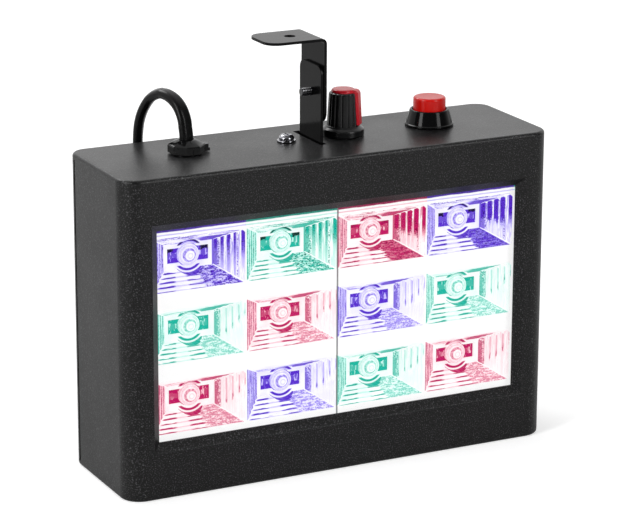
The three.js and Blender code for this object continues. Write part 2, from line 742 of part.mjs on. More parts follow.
function frontShell() {
  const options = {
    depth: BODY_HEIGHT - 2 * EDGE_RADIUS,
    bevelEnabled: true,
    bevelThickness: EDGE_RADIUS,
    bevelSize: EDGE_RADIUS,
    bevelOffset: -EDGE_RADIUS,
    bevelSegments: EDGE_STEPS,
    curveSegments: ARC_STEPS,
  };
  const outline = housingOutline(0, FRONT_CORNER_RADIUS, REAR_CORNER_RADIUS);
  const block = toSolid(new THREE.ExtrudeGeometry(outline, options).translate(0, 0, EDGE_RADIUS));
  const innerX = SIDE_X - WALL;
  const innerRadius = FRONT_CORNER_RADIUS - FRONT_WALL;
  const cavityRadii = [innerRadius, innerRadius, 0, 0];
  const cavityShape = roundedShape(-innerX, innerX, INNER_FRONT_Y, BACK_Y + OVERRUN, cavityRadii);
  const cavity = slab(cavityShape, WALL, INNER_TOP);
  const beyond = SIDE_X + OVERRUN;
  const coverSpace = box(-beyond, beyond, COVER_FRONT_Y, BACK_Y + OVERRUN, WALL, INNER_TOP);
  const shell = cut(block, [cavity, coverSpace]);
  const bossed = join([shell, ...lampBosses(), ...coverBosses()]);
  return cut(bossed, [...bossHoles(), ...windowCuts(), ...topCuts()]);
}

function rearCover() {
  const low = WALL + RUNNING_GAP;
  const high = INNER_TOP - RUNNING_GAP;
  const block = slab(housingOutline(0, FRONT_CORNER_RADIUS, REAR_CORNER_RADIUS), low, high);
  const tongueY = COVER_FRONT_Y + RUNNING_GAP;
  const beyond = SIDE_X + OVERRUN;
  const front = box(-beyond, beyond, FRONT_Y - OVERRUN, tongueY, 0, BODY_HEIGHT);
  const innerX = SIDE_X - COVER_WALL;
  const innerRadius = REAR_CORNER_RADIUS - COVER_WALL;
  const hollowRadii = [0, 0, innerRadius, innerRadius];
  const hollow = slab(roundedShape(-innerX, innerX, 0, COVER_INNER_Y, hollowRadii), 0, BODY_HEIGHT);
  const seams = SIDES.map((side) => {
    const edges = [side * (SIDE_X - SEAM_DEPTH), side * beyond];
    return box(Math.min(...edges), Math.max(...edges), 0, COVER_FRONT_Y + SEAM_WIDTH, 0, BODY_HEIGHT);
  });
  const solids = [cut(block, [front, hollow, ...seams])];
  const tools = [];
  const middleY = BACK_Y - COVER_WALL / 2;
  for (const side of SIDES) {
    for (const z of COVER_BOSS_ZS) {
      const x = side * COVER_BOSS_X;
      solids.push(rodY(COVER_PAD_RADIUS, x, z, COVER_PAD_Y, middleY));
      tools.push(rodY(SCREW_RADIUS + RUNNING_GAP, x, z, COVER_PAD_Y - OVERRUN, BACK_Y));
      const sinkRadius = SCREW_HEAD_RADIUS + 2 * RUNNING_GAP;
      tools.push(rodY(sinkRadius, x, z, BACK_Y - SCREW_SINK, BACK_Y + OVERRUN));
    }
    const postX = side * DRIVER_SCREW_X;
    const postEnd = COVER_INNER_Y - DRIVER_POST_LENGTH;
    const holeEnd = DRIVER_FRONT_Y - SEAT_GAP + DRIVER_SCREW_LENGTH + OVERRUN;
    for (const z of DRIVER_POST_ZS) solids.push(rodY(DRIVER_POST_RADIUS, postX, z, postEnd, middleY));
    tools.push(rodY(SCREW_RADIUS + THREAD_GAP, postX, DRIVER_SCREW_Z, postEnd - OVERRUN, holeEnd));
  }
  return cut(join(solids), tools);
}

function buildCoverScrews() {
  const screw = crossScrew(COVER_SCREW_LENGTH).rotateX(-Math.PI / 2);
  const seat = BACK_Y - SCREW_SINK + SEAT_GAP;
  pieces(screw, STEEL, mirroredPlaces('rear_cover_screw', COVER_BOSS_X, seat, COVER_BOSS_ZS));
}

function windowPane() {
  const x = APERTURE_X + PANE_LAP;
  return box(-x, x, PANE_FRONT, PANE_BACK, APERTURE_BOTTOM - PANE_LAP, APERTURE_TOP + PANE_LAP);
}

function columnX(column) {
  return (column - (COLUMNS - 1) / 2) * COLUMN_PITCH;
}

function rowZ(row) {
  return REFLECTOR_MIDDLE + ((ROWS - 1) / 2 - row) * ROW_PITCH;
}

// One cup of a reflector moulding: its solid outside and the spaces to cut out of it
function reflectorCup(x, z) {
  const spreadX = (OVERRUN * (CELL_WIDTH - FLOOR_WIDTH)) / 2 / (REFLECTOR_DEPTH - REFLECTOR_WALL);
  const spreadZ = (OVERRUN * (CELL_HEIGHT - FLOOR_HEIGHT)) / 2 / (REFLECTOR_DEPTH - REFLECTOR_WALL);
  const rectangle = (width, height, y) => [x - width / 2, x + width / 2, z - height / 2, z + height / 2, y];
  const skin = 2 * REFLECTOR_WALL;
  const outside = taperedBlock(
    rectangle(CELL_WIDTH + skin, CELL_HEIGHT + skin, REFLECTOR_FRONT),
    rectangle(FLOOR_WIDTH + skin, FLOOR_HEIGHT + skin, REFLECTOR_BACK),
  );
  const mouthY = REFLECTOR_FRONT - OVERRUN;
  const inside = taperedBlock(
    rectangle(CELL_WIDTH + 2 * spreadX, CELL_HEIGHT + 2 * spreadZ, mouthY),
    rectangle(FLOOR_WIDTH, FLOOR_HEIGHT, REFLECTOR_FLOOR),
  );
  const pocketY = REFLECTOR_FLOOR - BEAD_POCKET_REACH;
  const pocketWall = rodY(BEAD_POCKET_RADIUS + REFLECTOR_WALL, x, z, pocketY, REFLECTOR_BACK);
  const pocket = rodY(BEAD_POCKET_RADIUS, x, z, mouthY, REFLECTOR_FLOOR);
  const behind = REFLECTOR_BACK + OVERRUN;
  const hole = rodY(BEAD_HOLE_RADIUS, x, z, REFLECTOR_FLOOR - OVERRUN, behind);
  const slotX = LEAD_SLOT_WIDTH / 2;
  const slotZ = LEAD_SLOT_HEIGHT / 2;
  const slot = box(x - slotX, x + slotX, REFLECTOR_FLOOR - OVERRUN, behind, z - slotZ, z + slotZ);
  return { solids: [outside, pocketWall], spaces: [inside, pocket, hole, slot] };
}

// Half of the reflector, two columns wide; the two halves meet at the middle of the window
function reflector(side) {
  const bottom = REFLECTOR_MIDDLE - (ROWS * ROW_PITCH) / 2 - REFLECTOR_FLANGE;
  const top = REFLECTOR_MIDDLE + (ROWS * ROW_PITCH) / 2 + REFLECTOR_FLANGE;
  const edges = [(side * RUNNING_GAP) / 2, side * ((COLUMNS * COLUMN_PITCH) / 2 + REFLECTOR_FLANGE)];
  const [x0, x1] = [Math.min(...edges), Math.max(...edges)];
  const solids = [box(x0, x1, REFLECTOR_FRONT, REFLECTOR_FRONT + REFLECTOR_PLATE, bottom, top)];
  const spaces = [];
  for (let column = 0; column < COLUMNS; column += 1) {
    if (Math.sign(columnX(column)) !== side) continue;
    for (let row = 0; row < ROWS; row += 1) {
      const cup = reflectorCup(columnX(column), rowZ(row));
      solids.push(...cup.solids);
      spaces.push(...cup.spaces);
    }
  }
  const bounds = box(x0, x1, REFLECTOR_FRONT, REFLECTOR_BACK, bottom, top);
  return cut(join(solids).intersect(bounds), spaces);
}

function lampBoard() {
  const x = LAMP_BOARD_X;
  const board = box(-x, x, LAMP_BOARD_FRONT, LAMP_BOARD_BACK, LAMP_BOARD_BOTTOM, LAMP_BOARD_TOP);
  const start = LAMP_BOARD_FRONT - OVERRUN;
  const end = LAMP_BOARD_BACK + OVERRUN;
  const radius = SCREW_RADIUS + RUNNING_GAP;
  const hole = (side, z) => rodY(radius, side * LAMP_SCREW_X, z, start, end);
  return cut(board, SIDES.flatMap((side) => LAMP_SCREW_ZS.map((z) => hole(side, z))));
}

function buildLampBoardScrews() {
  const screw = crossScrew(LAMP_SCREW_LENGTH).rotateX(-Math.PI / 2);
  const seat = LAMP_BOARD_BACK + SEAT_GAP;
  pieces(screw, STEEL, mirroredPlaces('lamp_board_screw', LAMP_SCREW_X, seat, LAMP_SCREW_ZS));
}

// A lamp bead: a round base with two flat leads and a clear dome, facing -Y
function lampBead() {
  const profile = [
    [0, 0],
    [BEAD_RADIUS, 0],
    [BEAD_RADIUS, BEAD_HEIGHT - BEAD_CHAMFER],
    [BEAD_RADIUS - BEAD_CHAMFER, BEAD_HEIGHT],
  ];
  for (let i = 0; i <= EDGE_STEPS; i += 1) {
    const angle = ((i / EDGE_STEPS) * Math.PI) / 2;
    profile.push([DOME_RADIUS * Math.cos(angle), BEAD_HEIGHT + DOME_HEIGHT * Math.sin(angle)]);
  }
  profile[profile.length - 1][0] = 0;
  const leads = box(-LEAD_SPAN / 2, LEAD_SPAN / 2, -LEAD_WIDTH / 2, LEAD_WIDTH / 2, 0, LEAD_THICKNESS);
  return toGeometry(join([turned(profile, SMALL_SIDES), leads])).rotateX(Math.PI / 2);
}

// The three colours take turns along each row and down each column
function buildLampBeads() {
  const bead = lampBead();
  for (let row = 0; row < ROWS; row += 1) {
    for (let column = 0; column < COLUMNS; column += 1) {
      const place = [columnX(column), LAMP_BOARD_FRONT - SEAT_GAP, rowZ(row)];
      const colour = BEAD_COLOURS[(row + column) % BEAD_COLOURS.length];
      pieces(bead, colour, [[`lamp_bead_${row + 1}_${column + 1}`, ...place]]);
    }
  }
}

// An angle of sheet: an upright leg whose face lies at x, and a level leg that leaves it toward -X
function angleProfile(x, levelZ, endZ, length, bendRadius) {
  const t = STRIP_THICKNESS;
  const r = bendRadius;
  const way = Math.sign(endZ - levelZ);
  const clockwise = way > 0;
  const from = clockwise ? -Math.PI / 2 : Math.PI / 2;
  const shape = new THREE.Shape();
  shape.moveTo(x - length, levelZ);
  shape.lineTo(x - r - t, levelZ);
  shape.absarc(x - r - t, levelZ + way * (r + t), r + t, from, 0, !clockwise);
  shape.lineTo(x, endZ);
  shape.lineTo(x - t, endZ);
  shape.lineTo(x - t, levelZ + way * (r + t));
  shape.absarc(x - r - t, levelZ + way * (r + t), r, 0, from, clockwise);
  shape.lineTo(x - length, levelZ + way * t);
  return shape;
}

function lowerBracket() {
  const half = LOWER_STRIP_WIDTH / 2;
  const faceX = LOWER_STRIP_X + STRIP_THICKNESS;
  const footZ = -WALL - SEAT_GAP - STRIP_THICKNESS;
  const profile = angleProfile(faceX, footZ, LOWER_STRIP_HEIGHT, LOWER_FOOT_LENGTH, LOWER_BEND_RADIUS);
  const corners = [0, 0, LOWER_STRIP_CORNER, LOWER_STRIP_CORNER];
  const face = roundedShape(-half, half, footZ - OVERRUN, LOWER_STRIP_HEIGHT, corners);
  const start = faceX - LOWER_FOOT_LENGTH - OVERRUN;
  const strip = slabY(profile, -half, half).intersect(slabX(face, start, faceX + OVERRUN));
  const pivotHole = rodX(SCREW_RADIUS + THREAD_GAP, 0, PIVOT_HEIGHT, 0, faceX + OVERRUN);
  const footHole = rodZ(SCREW_RADIUS + RUNNING_GAP, FOOT_SCREW_X, 0, footZ - OVERRUN, 0);
  return cut(strip, [pivotHole, footHole]);
}

// Modelled about the pivot axis
function upperBracket() {
  const half = UPPER_STRIP_WIDTH / 2;
  const y0 = UPPER_STRIP_SETBACK - half;
  const y1 = UPPER_STRIP_SETBACK + half;
  const faceX = UPPER_STRIP_X + STRIP_THICKNESS;
  const endX = faceX - FLANGE_LENGTH;
  const profile = angleProfile(faceX, UPPER_STRIP_RISE, -UPPER_STRIP_DROP, FLANGE_LENGTH, UPPER_BEND_RADIUS);
  const c = UPPER_STRIP_CORNER;
  const face = roundedShape(y0, y1, -UPPER_STRIP_DROP, UPPER_STRIP_RISE + OVERRUN, [c, c, 0, 0]);
  const f = FLANGE_CORNER;
  const plan = roundedShape(endX, faceX + OVERRUN, y0, y1, [f, 0, 0, f]);
  const holeX = endX + FLANGE_HOLE_INSET;
  const top = UPPER_STRIP_RISE + OVERRUN;
  const strip = slabY(profile, y0, y1)
    .intersect(slabX(face, endX - OVERRUN, faceX + OVERRUN))
    .intersect(slab(plan, -UPPER_STRIP_DROP - OVERRUN, top));
  const pivotHole = rodX(SCREW_RADIUS + RUNNING_GAP, 0, 0, 0, faceX + OVERRUN);
  const hangHole = rodZ(FLANGE_HOLE_RADIUS, holeX, UPPER_STRIP_SETBACK, 0, top, ROUND_SIDES);
  return cut(strip, [pivotHole, hangHole]);
}

function pivotScrew() {
  const seat = UPPER_STRIP_X + STRIP_THICKNESS + SEAT_GAP;
  const length = seat + PIVOT_SCREW_PROUD - LOWER_STRIP_X;
  return crossScrew(length).rotateY(Math.PI / 2).translate(seat, 0, PIVOT_HEIGHT);
}

function buildBracket() {
  const base = controlGroup(0);
  piece('lower_bracket', lowerBracket(), BRACKET_BLACK, base);
  piece('pivot_screw', pivotScrew(), BRACKET_BLACK, base);
  const tilting = new THREE.Group();
  tilting.position.z = PIVOT_HEIGHT;
  base.add(tilting);
  piece('upper_bracket', upperBracket(), BRACKET_BLACK, tilting);
  const foot = controlGroup(FOOT_SCREW_X);
  const hole = SCREW_RADIUS + THREAD_GAP;
  const washerTop = SEAT_GAP + FOOT_WASHER_THICKNESS;
  piece('foot_washer', ring(hole, FOOT_WASHER_RADIUS, SEAT_GAP, washerTop), CHROME, foot);
  const seat = washerTop + SEAT_GAP;
  piece('foot_screw', crossScrew(FOOT_SCREW_LENGTH).translate(0, 0, seat), CHROME, foot);
  const nutTop = -WALL - STRIP_THICKNESS - 2 * SEAT_GAP;
  const nut = ring(hole, FOOT_NUT_RADIUS, nutTop - FOOT_NUT_HEIGHT, nutTop, HEX_SIDES);
  piece('foot_nut', nut, STEEL, foot);
}

// A tapering grip with fine upright ribs all round
function ribbedGrip() {
  const count = KNOB_RIB_POINTS * KNOB_RIBS;
  const level = (radius, z) => {
    const points = [];
    for (let i = 0; i < count; i += 1) {
      const angle = (i / count) * 2 * Math.PI;
      const reach = radius + KNOB_RIB_DEPTH * Math.cos(KNOB_RIBS * angle);
      points.push(new THREE.Vector3(reach * Math.cos(angle), reach * Math.sin(angle), z));
    }
    return points;
  };
  return toSolid(loft([
    level(KNOB_BASE_RADIUS, KNOB_SKIRT_HEIGHT),
    level(KNOB_TOP_RADIUS, KNOB_HEIGHT - KNOB_TOP_CHAMFER),
    level(KNOB_TOP_RADIUS - KNOB_TOP_CHAMFER, KNOB_HEIGHT),
  ]));
}

// The pointer rib down the side of the knob, with a margin when it serves as the slot for it
function pointerRib(margin) {
  const low = KNOB_SKIRT_HEIGHT + KNOB_SKIRT_CONE + RUNNING_GAP - margin;
  const high = KNOB_HEIGHT + SEAT_GAP + KNOB_CAP_THICKNESS;
  const root = POINTER_ROOT - margin;
  const shape = new THREE.Shape();
  shape.moveTo(root, low);
  shape.lineTo(KNOB_BASE_RADIUS + POINTER_RISE, low);
  shape.lineTo(KNOB_TOP_RADIUS + POINTER_RISE, high);
  shape.lineTo(root, high);
  const half = POINTER_WIDTH / 2 + margin;
  return slabY(shape, -half, half);
}

function knobBody() {
  const coneTop = KNOB_SKIRT_HEIGHT + KNOB_SKIRT_CONE;
  const skirt = turned([
    [0, RUNNING_GAP],
    [KNOB_SKIRT_RADIUS, RUNNING_GAP],
    [KNOB_SKIRT_RADIUS, KNOB_SKIRT_HEIGHT],
    [KNOB_BASE_RADIUS + KNOB_RIB_DEPTH, coneTop],
    [0, coneTop],
  ], FINE_SIDES);
  const cavityTop = KNOB_SKIRT_HEIGHT - KNOB_ROOF + RUNNING_GAP;
  const cavity = rodZ(KNOB_CAVITY_RADIUS, 0, 0, 0, cavityTop, ROUND_SIDES);
  const bore = rodZ(POT_SHAFT_RADIUS + THREAD_GAP, 0, 0, 0, POT_SHAFT_REACH + RUNNING_GAP, ROUND_SIDES);
  const plugFloor = KNOB_HEIGHT - KNOB_PLUG_DEPTH;
  const recess = rodZ(KNOB_PLUG_RADIUS + THREAD_GAP, 0, 0, plugFloor, KNOB_HEIGHT + OVERRUN);
  return cut(join([skirt, ribbedGrip()]), [cavity, bore, recess, pointerRib(SEAT_GAP)]);
}

function knobCap() {
  const low = KNOB_HEIGHT + SEAT_GAP;
  const disc = rodZ(KNOB_CAP_RADIUS, 0, 0, low, low + KNOB_CAP_THICKNESS, ROUND_SIDES);
  const plug = rodZ(KNOB_PLUG_RADIUS, 0, 0, KNOB_HEIGHT - KNOB_PLUG_DEPTH + SEAT_GAP, low + SEAT_GAP);
  return join([disc, plug, pointerRib(0)]);
}

function potBody() {
  const top = -WALL - RUNNING_GAP;
  const bottom = top - POT_HEIGHT;
  const can = rodZ(POT_RADIUS, 0, 0, bottom, top, ROUND_SIDES);
  const bushing = rodZ(POT_BUSHING_RADIUS, 0, 0, top - OVERRUN, POT_BUSHING_RISE, ROUND_SIDES);
  const lugs = POT_LUG_PLACES.map((place) => {
    const x = place * POT_LUG_SPACING;
    const half = POT_LUG_WIDTH / 2;
    const thick = POT_LUG_THICKNESS / 2;
    return box(x - half, x + half, -thick, thick, bottom - POT_LUG_LENGTH, bottom + OVERRUN);
  });
  const boreBottom = -POT_SHAFT_DEPTH - RUNNING_GAP;
  const bore = rodZ(POT_SHAFT_RADIUS + SEAT_GAP, 0, 0, boreBottom, POT_BUSHING_RISE + OVERRUN, ROUND_SIDES);
  return cut(join([can, bushing, ...lugs]), [bore]);
}

function buildSpeedControl() {
  const fixed = controlGroup(KNOB_X);
  piece('pot_body', potBody(), STEEL, fixed);
  const nutTop = SEAT_GAP + POT_NUT_HEIGHT;
  const nut = ring(POT_BUSHING_RADIUS + THREAD_GAP, POT_NUT_RADIUS, SEAT_GAP, nutTop, HEX_SIDES);
  piece('pot_nut', nut, STEEL, fixed);
  const turning = controlGroup(KNOB_X);
  turning.rotation.z = THREE.MathUtils.degToRad(KNOB_POINTER_TURN);
  piece('speed_knob', knobBody(), SOFT_BLACK, turning);
  piece('knob_cap', knobCap(), RED, turning);
  const shaft = rodZ(POT_SHAFT_RADIUS, 0, 0, -POT_SHAFT_DEPTH, POT_SHAFT_REACH, ROUND_SIDES);
  piece('pot_shaft', shaft, STEEL, turning);
}

function switchBody() {
  const outside = turned([
    [0, -BARREL_DEPTH],
    [BARREL_RADIUS, -BARREL_DEPTH],
    [BARREL_RADIUS, SEAT_GAP],
    [COLLAR_RADIUS, SEAT_GAP],
    [COLLAR_RADIUS, COLLAR_LIP],
    [COLLAR_TOP_RADIUS, COLLAR_HEIGHT],
    [0, COLLAR_HEIGHT],
  ], FINE_SIDES);
  const bore = rodZ(SWITCH_BORE_RADIUS, 0, 0, -SWITCH_FLOOR_DEPTH, COLLAR_HEIGHT + OVERRUN, FINE_SIDES);
  const blades = SIDES.map((side) => {
    const x = (side * SWITCH_BLADE_SPACING) / 2;
    const half = SWITCH_BLADE_WIDTH / 2;
    const thick = SWITCH_BLADE_THICKNESS / 2;
    const low = -BARREL_DEPTH - SWITCH_BLADE_LENGTH;
    return box(x - thick, x + thick, -half, half, low, OVERRUN - BARREL_DEPTH);
  });
  return join([cut(outside, [bore]), ...blades]);
}

function pushButton() {
  const bottom = BUTTON_TOP - BUTTON_THICKNESS;
  return turned([
    [0, bottom - BUTTON_STEM_LENGTH],
    [BUTTON_STEM_RADIUS, bottom - BUTTON_STEM_LENGTH],
    [BUTTON_STEM_RADIUS, bottom],
    [BUTTON_RADIUS, bottom],
    [BUTTON_RADIUS, BUTTON_TOP - BUTTON_CHAMFER],
    [BUTTON_RADIUS - BUTTON_CHAMFER, BUTTON_TOP],
    [0, BUTTON_TOP],
  ], FINE_SIDES);
}

// The return spring: one wire wound round the stem, from the switch floor to the underside of the button
function returnSpring() {
  const low = RUNNING_GAP + SPRING_WIRE / 2 - SWITCH_FLOOR_DEPTH;
  const high = BUTTON_TOP - BUTTON_THICKNESS - RUNNING_GAP - SPRING_WIRE / 2;
  const steps = SPRING_TURNS * SPRING_TURN_STEPS;
  const points = [];
  for (let i = 0; i <= steps; i += 1) {
    const angle = (i / SPRING_TURN_STEPS) * 2 * Math.PI;
    const z = low + ((high - low) * i) / steps;
    points.push(new THREE.Vector3(SPRING_RADIUS * Math.cos(angle), SPRING_RADIUS * Math.sin(angle), z));
  }
  return loft(woundRings(points, roundSection(SPRING_WIRE / 2, SPRING_SIDES)));
}

function buildSwitch() {
  const group = controlGroup(SWITCH_X);
  piece('switch_body', switchBody(), GLOSS_BLACK, group);
  const nutTop = -WALL - SEAT_GAP;
  const nut = ring(BARREL_RADIUS + THREAD_GAP, SWITCH_NUT_RADIUS, nutTop - SWITCH_NUT_HEIGHT, nutTop);
  piece('switch_nut', nut, SOFT_BLACK, group);
  piece('push_button', pushButton(), RED, group);
  piece('button_spring', returnSpring(), STEEL, group);
}

// The cord bushing: an eight-sided head, a neck with a barb under the wall and a lug at one side
function cordBushing() {
  const neckTop = -WALL - RUNNING_GAP;
  const neck = turned([
    [0, -BUSHING_DEPTH],
    [BUSHING_NECK_RADIUS, -BUSHING_DEPTH],
    [BUSHING_NECK_RADIUS, neckTop - BUSHING_BARB_SLOPE],
    [BUSHING_BARB_RADIUS, neckTop - RUNNING_GAP],
    [BUSHING_BARB_RADIUS, neckTop],
    [BUSHING_NECK_RADIUS, neckTop],
    [BUSHING_NECK_RADIUS, BUSHING_RIM],
    [0, BUSHING_RIM],
  ]);
  const head = turned([
    [0, SEAT_GAP],
    [BUSHING_RADIUS, SEAT_GAP],
    [BUSHING_RADIUS, BUSHING_RIM],
    [BUSHING_TOP_RADIUS, BUSHING_HEIGHT],
    [0, BUSHING_HEIGHT],
  ], BUSHING_SIDES);
  const half = BUSHING_LUG_WIDTH / 2;
  const lug = box(0, BUSHING_LUG_REACH, -half, half, SEAT_GAP, BUSHING_LUG_HEIGHT);
  const x = CORD_WIDTH / 2 + RUNNING_GAP;
  const y = CORD_THICKNESS / 2 + RUNNING_GAP;
  const mouthShape = roundedShape(-x, x, -y, y, [y, y, y, y].map((radius) => radius - SEAT_GAP));
  const mouth = slab(mouthShape, BUSHING_HEIGHT - BUSHING_MOUTH_DEPTH, BUSHING_HEIGHT + OVERRUN);
  const turnedMouth = toSolid(toGeometry(mouth).rotateZ(THREE.MathUtils.degToRad(CORD_TURN)));
  return cut(join([neck, head, lug]), [turnedMouth]);
}

// The cord's width stays square to the plane that it lies in
function powerCord() {
  const floor = BODY_HEIGHT + BUSHING_HEIGHT - BUSHING_MOUTH_DEPTH + RUNNING_GAP;
  const points = [[0, floor], ...CORD_POINTS].map(([y, z]) => [0, y, z]);
  return tube(points, flatSection(CORD_WIDTH, CORD_THICKNESS, CORD_SIDES), CORD_STEPS);
}

// The tail runs straight on, turns a quarter toward the housing and dips to the ground on its way
function tailPath(start) {
  const length = TAIL_STRAIGHT + (TAIL_RADIUS * Math.PI) / 2;
  const points = [];
  for (let i = 1; i <= TAIL_STEPS; i += 1) {
    const along = (length * i) / TAIL_STEPS;
    const angle = Math.max(along - TAIL_STRAIGHT, 0) / TAIL_RADIUS;
    const x = Math.min(along, TAIL_STRAIGHT) + TAIL_RADIUS * Math.sin(angle);
    const y = TAIL_RADIUS * (Math.cos(angle) - 1);
    const share = Math.max(along - TAIL_DIP_START, 0) / (length - TAIL_DIP_START);
    const dip = COIL_LAYER_RISE * Math.sin(Math.PI * share) ** 2;
    points.push(start.clone().add(new THREE.Vector3(x, y, -dip)));
  }
  return points;
}

// The path of the coil: it winds in on the ground, climbs in the half turn where it reverses and winds
// out on the upper layer to its tail
function coilPath() {
  const start = CORD_POINTS.at(-1)[0] + RUNNING_GAP;
  const points = [new THREE.Vector3(0, start, CORD_REST_Z)];
  const steps = COIL_TURNS * COIL_TURN_STEPS;
  const middle = COIL_TURNS / 2;
  const climbStart = middle - COIL_CLIMB_TURNS / 2;
  for (let i = 0; i <= steps; i += 1) {
    const turn = i / COIL_TURN_STEPS;
    const angle = Math.PI - turn * 2 * Math.PI;
    const radius = COIL_RADIUS - COIL_PITCH * (middle - Math.abs(turn - middle));
    const climb = Math.min(Math.max((turn - climbStart) / COIL_CLIMB_TURNS, 0), 1);
    const x = COIL_RADIUS + radius * Math.cos(angle);
    const y = start + CORD_THICKNESS + radius * Math.sin(angle);
    points.push(new THREE.Vector3(x, y, CORD_REST_Z + COIL_LAYER_RISE * climb));
  }
  return [...points, ...tailPath(points.at(-1))];
}

function driverBoard() {
  const board = box(-DRIVER_X, DRIVER_X, DRIVER_FRONT_Y, DRIVER_BACK_Y, DRIVER_BOTTOM, DRIVER_TOP);
  const start = DRIVER_FRONT_Y - OVERRUN;
  const end = DRIVER_BACK_Y + OVERRUN;
  const radius = SCREW_RADIUS + RUNNING_GAP;
  return cut(board, SIDES.map((side) => rodY(radius, side * DRIVER_SCREW_X, DRIVER_SCREW_Z, start, end)));
}

// A block on the front of the driver board, given by its middle and size
function boardBlock(x, z, width, depth, height) {
  return box(x - width / 2, x + width / 2, PARTS_Y - depth, PARTS_Y, z - height / 2, z + height / 2);
}

function buildDriver() {
  piece('driver_board', driverBoard(), BOARD_GREEN);
  const screw = crossScrew(DRIVER_SCREW_LENGTH).rotateX(Math.PI / 2);
  pieces(screw, STEEL, mirroredPlaces('driver_board_screw', DRIVER_SCREW_X, PARTS_Y, [DRIVER_SCREW_Z]));
  const transformer = [TRANSFORMER_WIDTH, TRANSFORMER_DEPTH, TRANSFORMER_HEIGHT];
  piece('driver_transformer', boardBlock(TRANSFORMER_X, DRIVER_MIDDLE_Z, ...transformer), CORE_YELLOW);
  const canY = PARTS_Y - CAPACITOR_RADIUS;
  const canEnd = CAPACITOR_X + CAPACITOR_LENGTH;
  piece('driver_capacitor', rodX(CAPACITOR_RADIUS, canY, DRIVER_MIDDLE_Z, CAPACITOR_X, canEnd), CAN_BLUE);
  BEAD_COLOURS.forEach((colour, i) => {
    const x = TRANSISTOR_X + i * TRANSISTOR_PITCH;
    const size = [TRANSISTOR_WIDTH, TRANSISTOR_DEPTH, TRANSISTOR_HEIGHT];
    const block = boardBlock(x, DRIVER_BOTTOM + TRANSISTOR_LIFT, ...size);
    piece(`driver_transistor_${i + 1}`, block, SOFT_BLACK);
  });
  const terminalZ = DRIVER_TOP - TERMINAL_DROP - TERMINAL_HEIGHT / 2;
  const terminal = [TERMINAL_WIDTH, TERMINAL_DEPTH, TERMINAL_HEIGHT];
  piece('mains_terminal', boardBlock(TERMINAL_X, terminalZ, ...terminal), TERMINAL_GREEN);
}

// A ribbon of cores in the upright plane at x, from one end straight down or back to the other end
function ribbonLead(x, cores, ends) {
  const section = flatSection(cores * CORE_DIAMETER, CORE_DIAMETER, LEAD_SIDES);
  return tube(ends.map(([y, z]) => [x, y, z]), section, LEAD_STEPS);
}

// The way down from a control to the front of the driver board
function controlLeadEnds(startZ) {
  const span = DRIVER_FRONT_Y - CONTROL_Y;
  return [
    [CONTROL_Y, startZ - RUNNING_GAP],
    [CONTROL_Y, startZ - LEAD_BEND],
    [CONTROL_Y + LEAD_EARLY_SHARE * span, LEAD_END_Z + 2 * LEAD_BEND],
    [CONTROL_Y + LEAD_LATE_SHARE * span, LEAD_END_Z + LEAD_BEND / 2],
    [DRIVER_FRONT_Y - RUNNING_GAP, LEAD_END_Z],
  ];
}

function buildLeads() {
  const switchEnd = BODY_HEIGHT - BARREL_DEPTH - SWITCH_BLADE_LENGTH;
  piece('switch_lead', ribbonLead(SWITCH_X, 2, controlLeadEnds(switchEnd)), WIRE_RED);
  const potEnd = BODY_HEIGHT - WALL - RUNNING_GAP - POT_HEIGHT - POT_LUG_LENGTH;
  piece('speed_lead', ribbonLead(KNOB_X, POT_LUG_PLACES.length, controlLeadEnds(potEnd)), WIRE_BLUE);
  const lampEnds = [
    [LAMP_BOARD_BACK + RUNNING_GAP, LAMP_LEAD_START_Z],
    [LAMP_BOARD_BACK + LEAD_BEND, LAMP_LEAD_START_Z - LAMP_LEAD_SAG],
    [DRIVER_FRONT_Y - LEAD_BEND, LAMP_LEAD_END_Z + LAMP_LEAD_SAG],
    [DRIVER_FRONT_Y - RUNNING_GAP, LAMP_LEAD_END_Z],
  ];
  piece('lamp_lead', ribbonLead(LAMP_LEAD_X, BEAD_COLOURS.length + 1, lampEnds), WIRE_WHITE);
  const bushingY = CONTROL_Y + BUSHING_SETBACK;
  const bushingEnd = BODY_HEIGHT - BUSHING_DEPTH;
  const terminalY = PARTS_Y - TERMINAL_DEPTH / 2;
  const terminalTop = DRIVER_TOP - TERMINAL_DROP;
  const mainsEnds = [
    [BUSHING_X, bushingY, bushingEnd - RUNNING_GAP],
    [BUSHING_X, bushingY, bushingEnd - LEAD_BEND],
    [TERMINAL_X, terminalY, terminalTop + 2 * LEAD_BEND],
    [TERMINAL_X, terminalY, terminalTop + RUNNING_GAP],
  ];
  const section = flatSection(CORD_WIDTH, CORD_THICKNESS, CORD_SIDES);
  piece('mains_lead', tube(mainsEnds, section, LEAD_STEPS), SOFT_BLACK);
}

function plugBody() {
  const half = PLUG_WIDTH / 2;
  const neck = PLUG_NECK_WIDTH / 2;
  const shape = new THREE.Shape();
  shape.moveTo(0, -neck);
  shape.lineTo(PLUG_NECK_LENGTH, -neck);
  shape.lineTo(PLUG_SHOULDER_LENGTH, -half);
  shape.lineTo(PLUG_LENGTH, -half);
  shape.lineTo(PLUG_LENGTH, half);
  shape.lineTo(PLUG_SHOULDER_LENGTH, half);
  shape.lineTo(PLUG_NECK_LENGTH, neck);
  shape.lineTo(0, neck);
  const options = {
    depth: 2 * COIL_UPPER_Z - 2 * PLUG_EDGE,
    bevelEnabled: true,
    bevelThickness: PLUG_EDGE,
    bevelSize: PLUG_EDGE,
    bevelOffset: -PLUG_EDGE,
    bevelSegments: 2,
  };
  return new THREE.ExtrudeGeometry(shape, options).translate(0, 0, PLUG_EDGE - COIL_UPPER_Z);
}

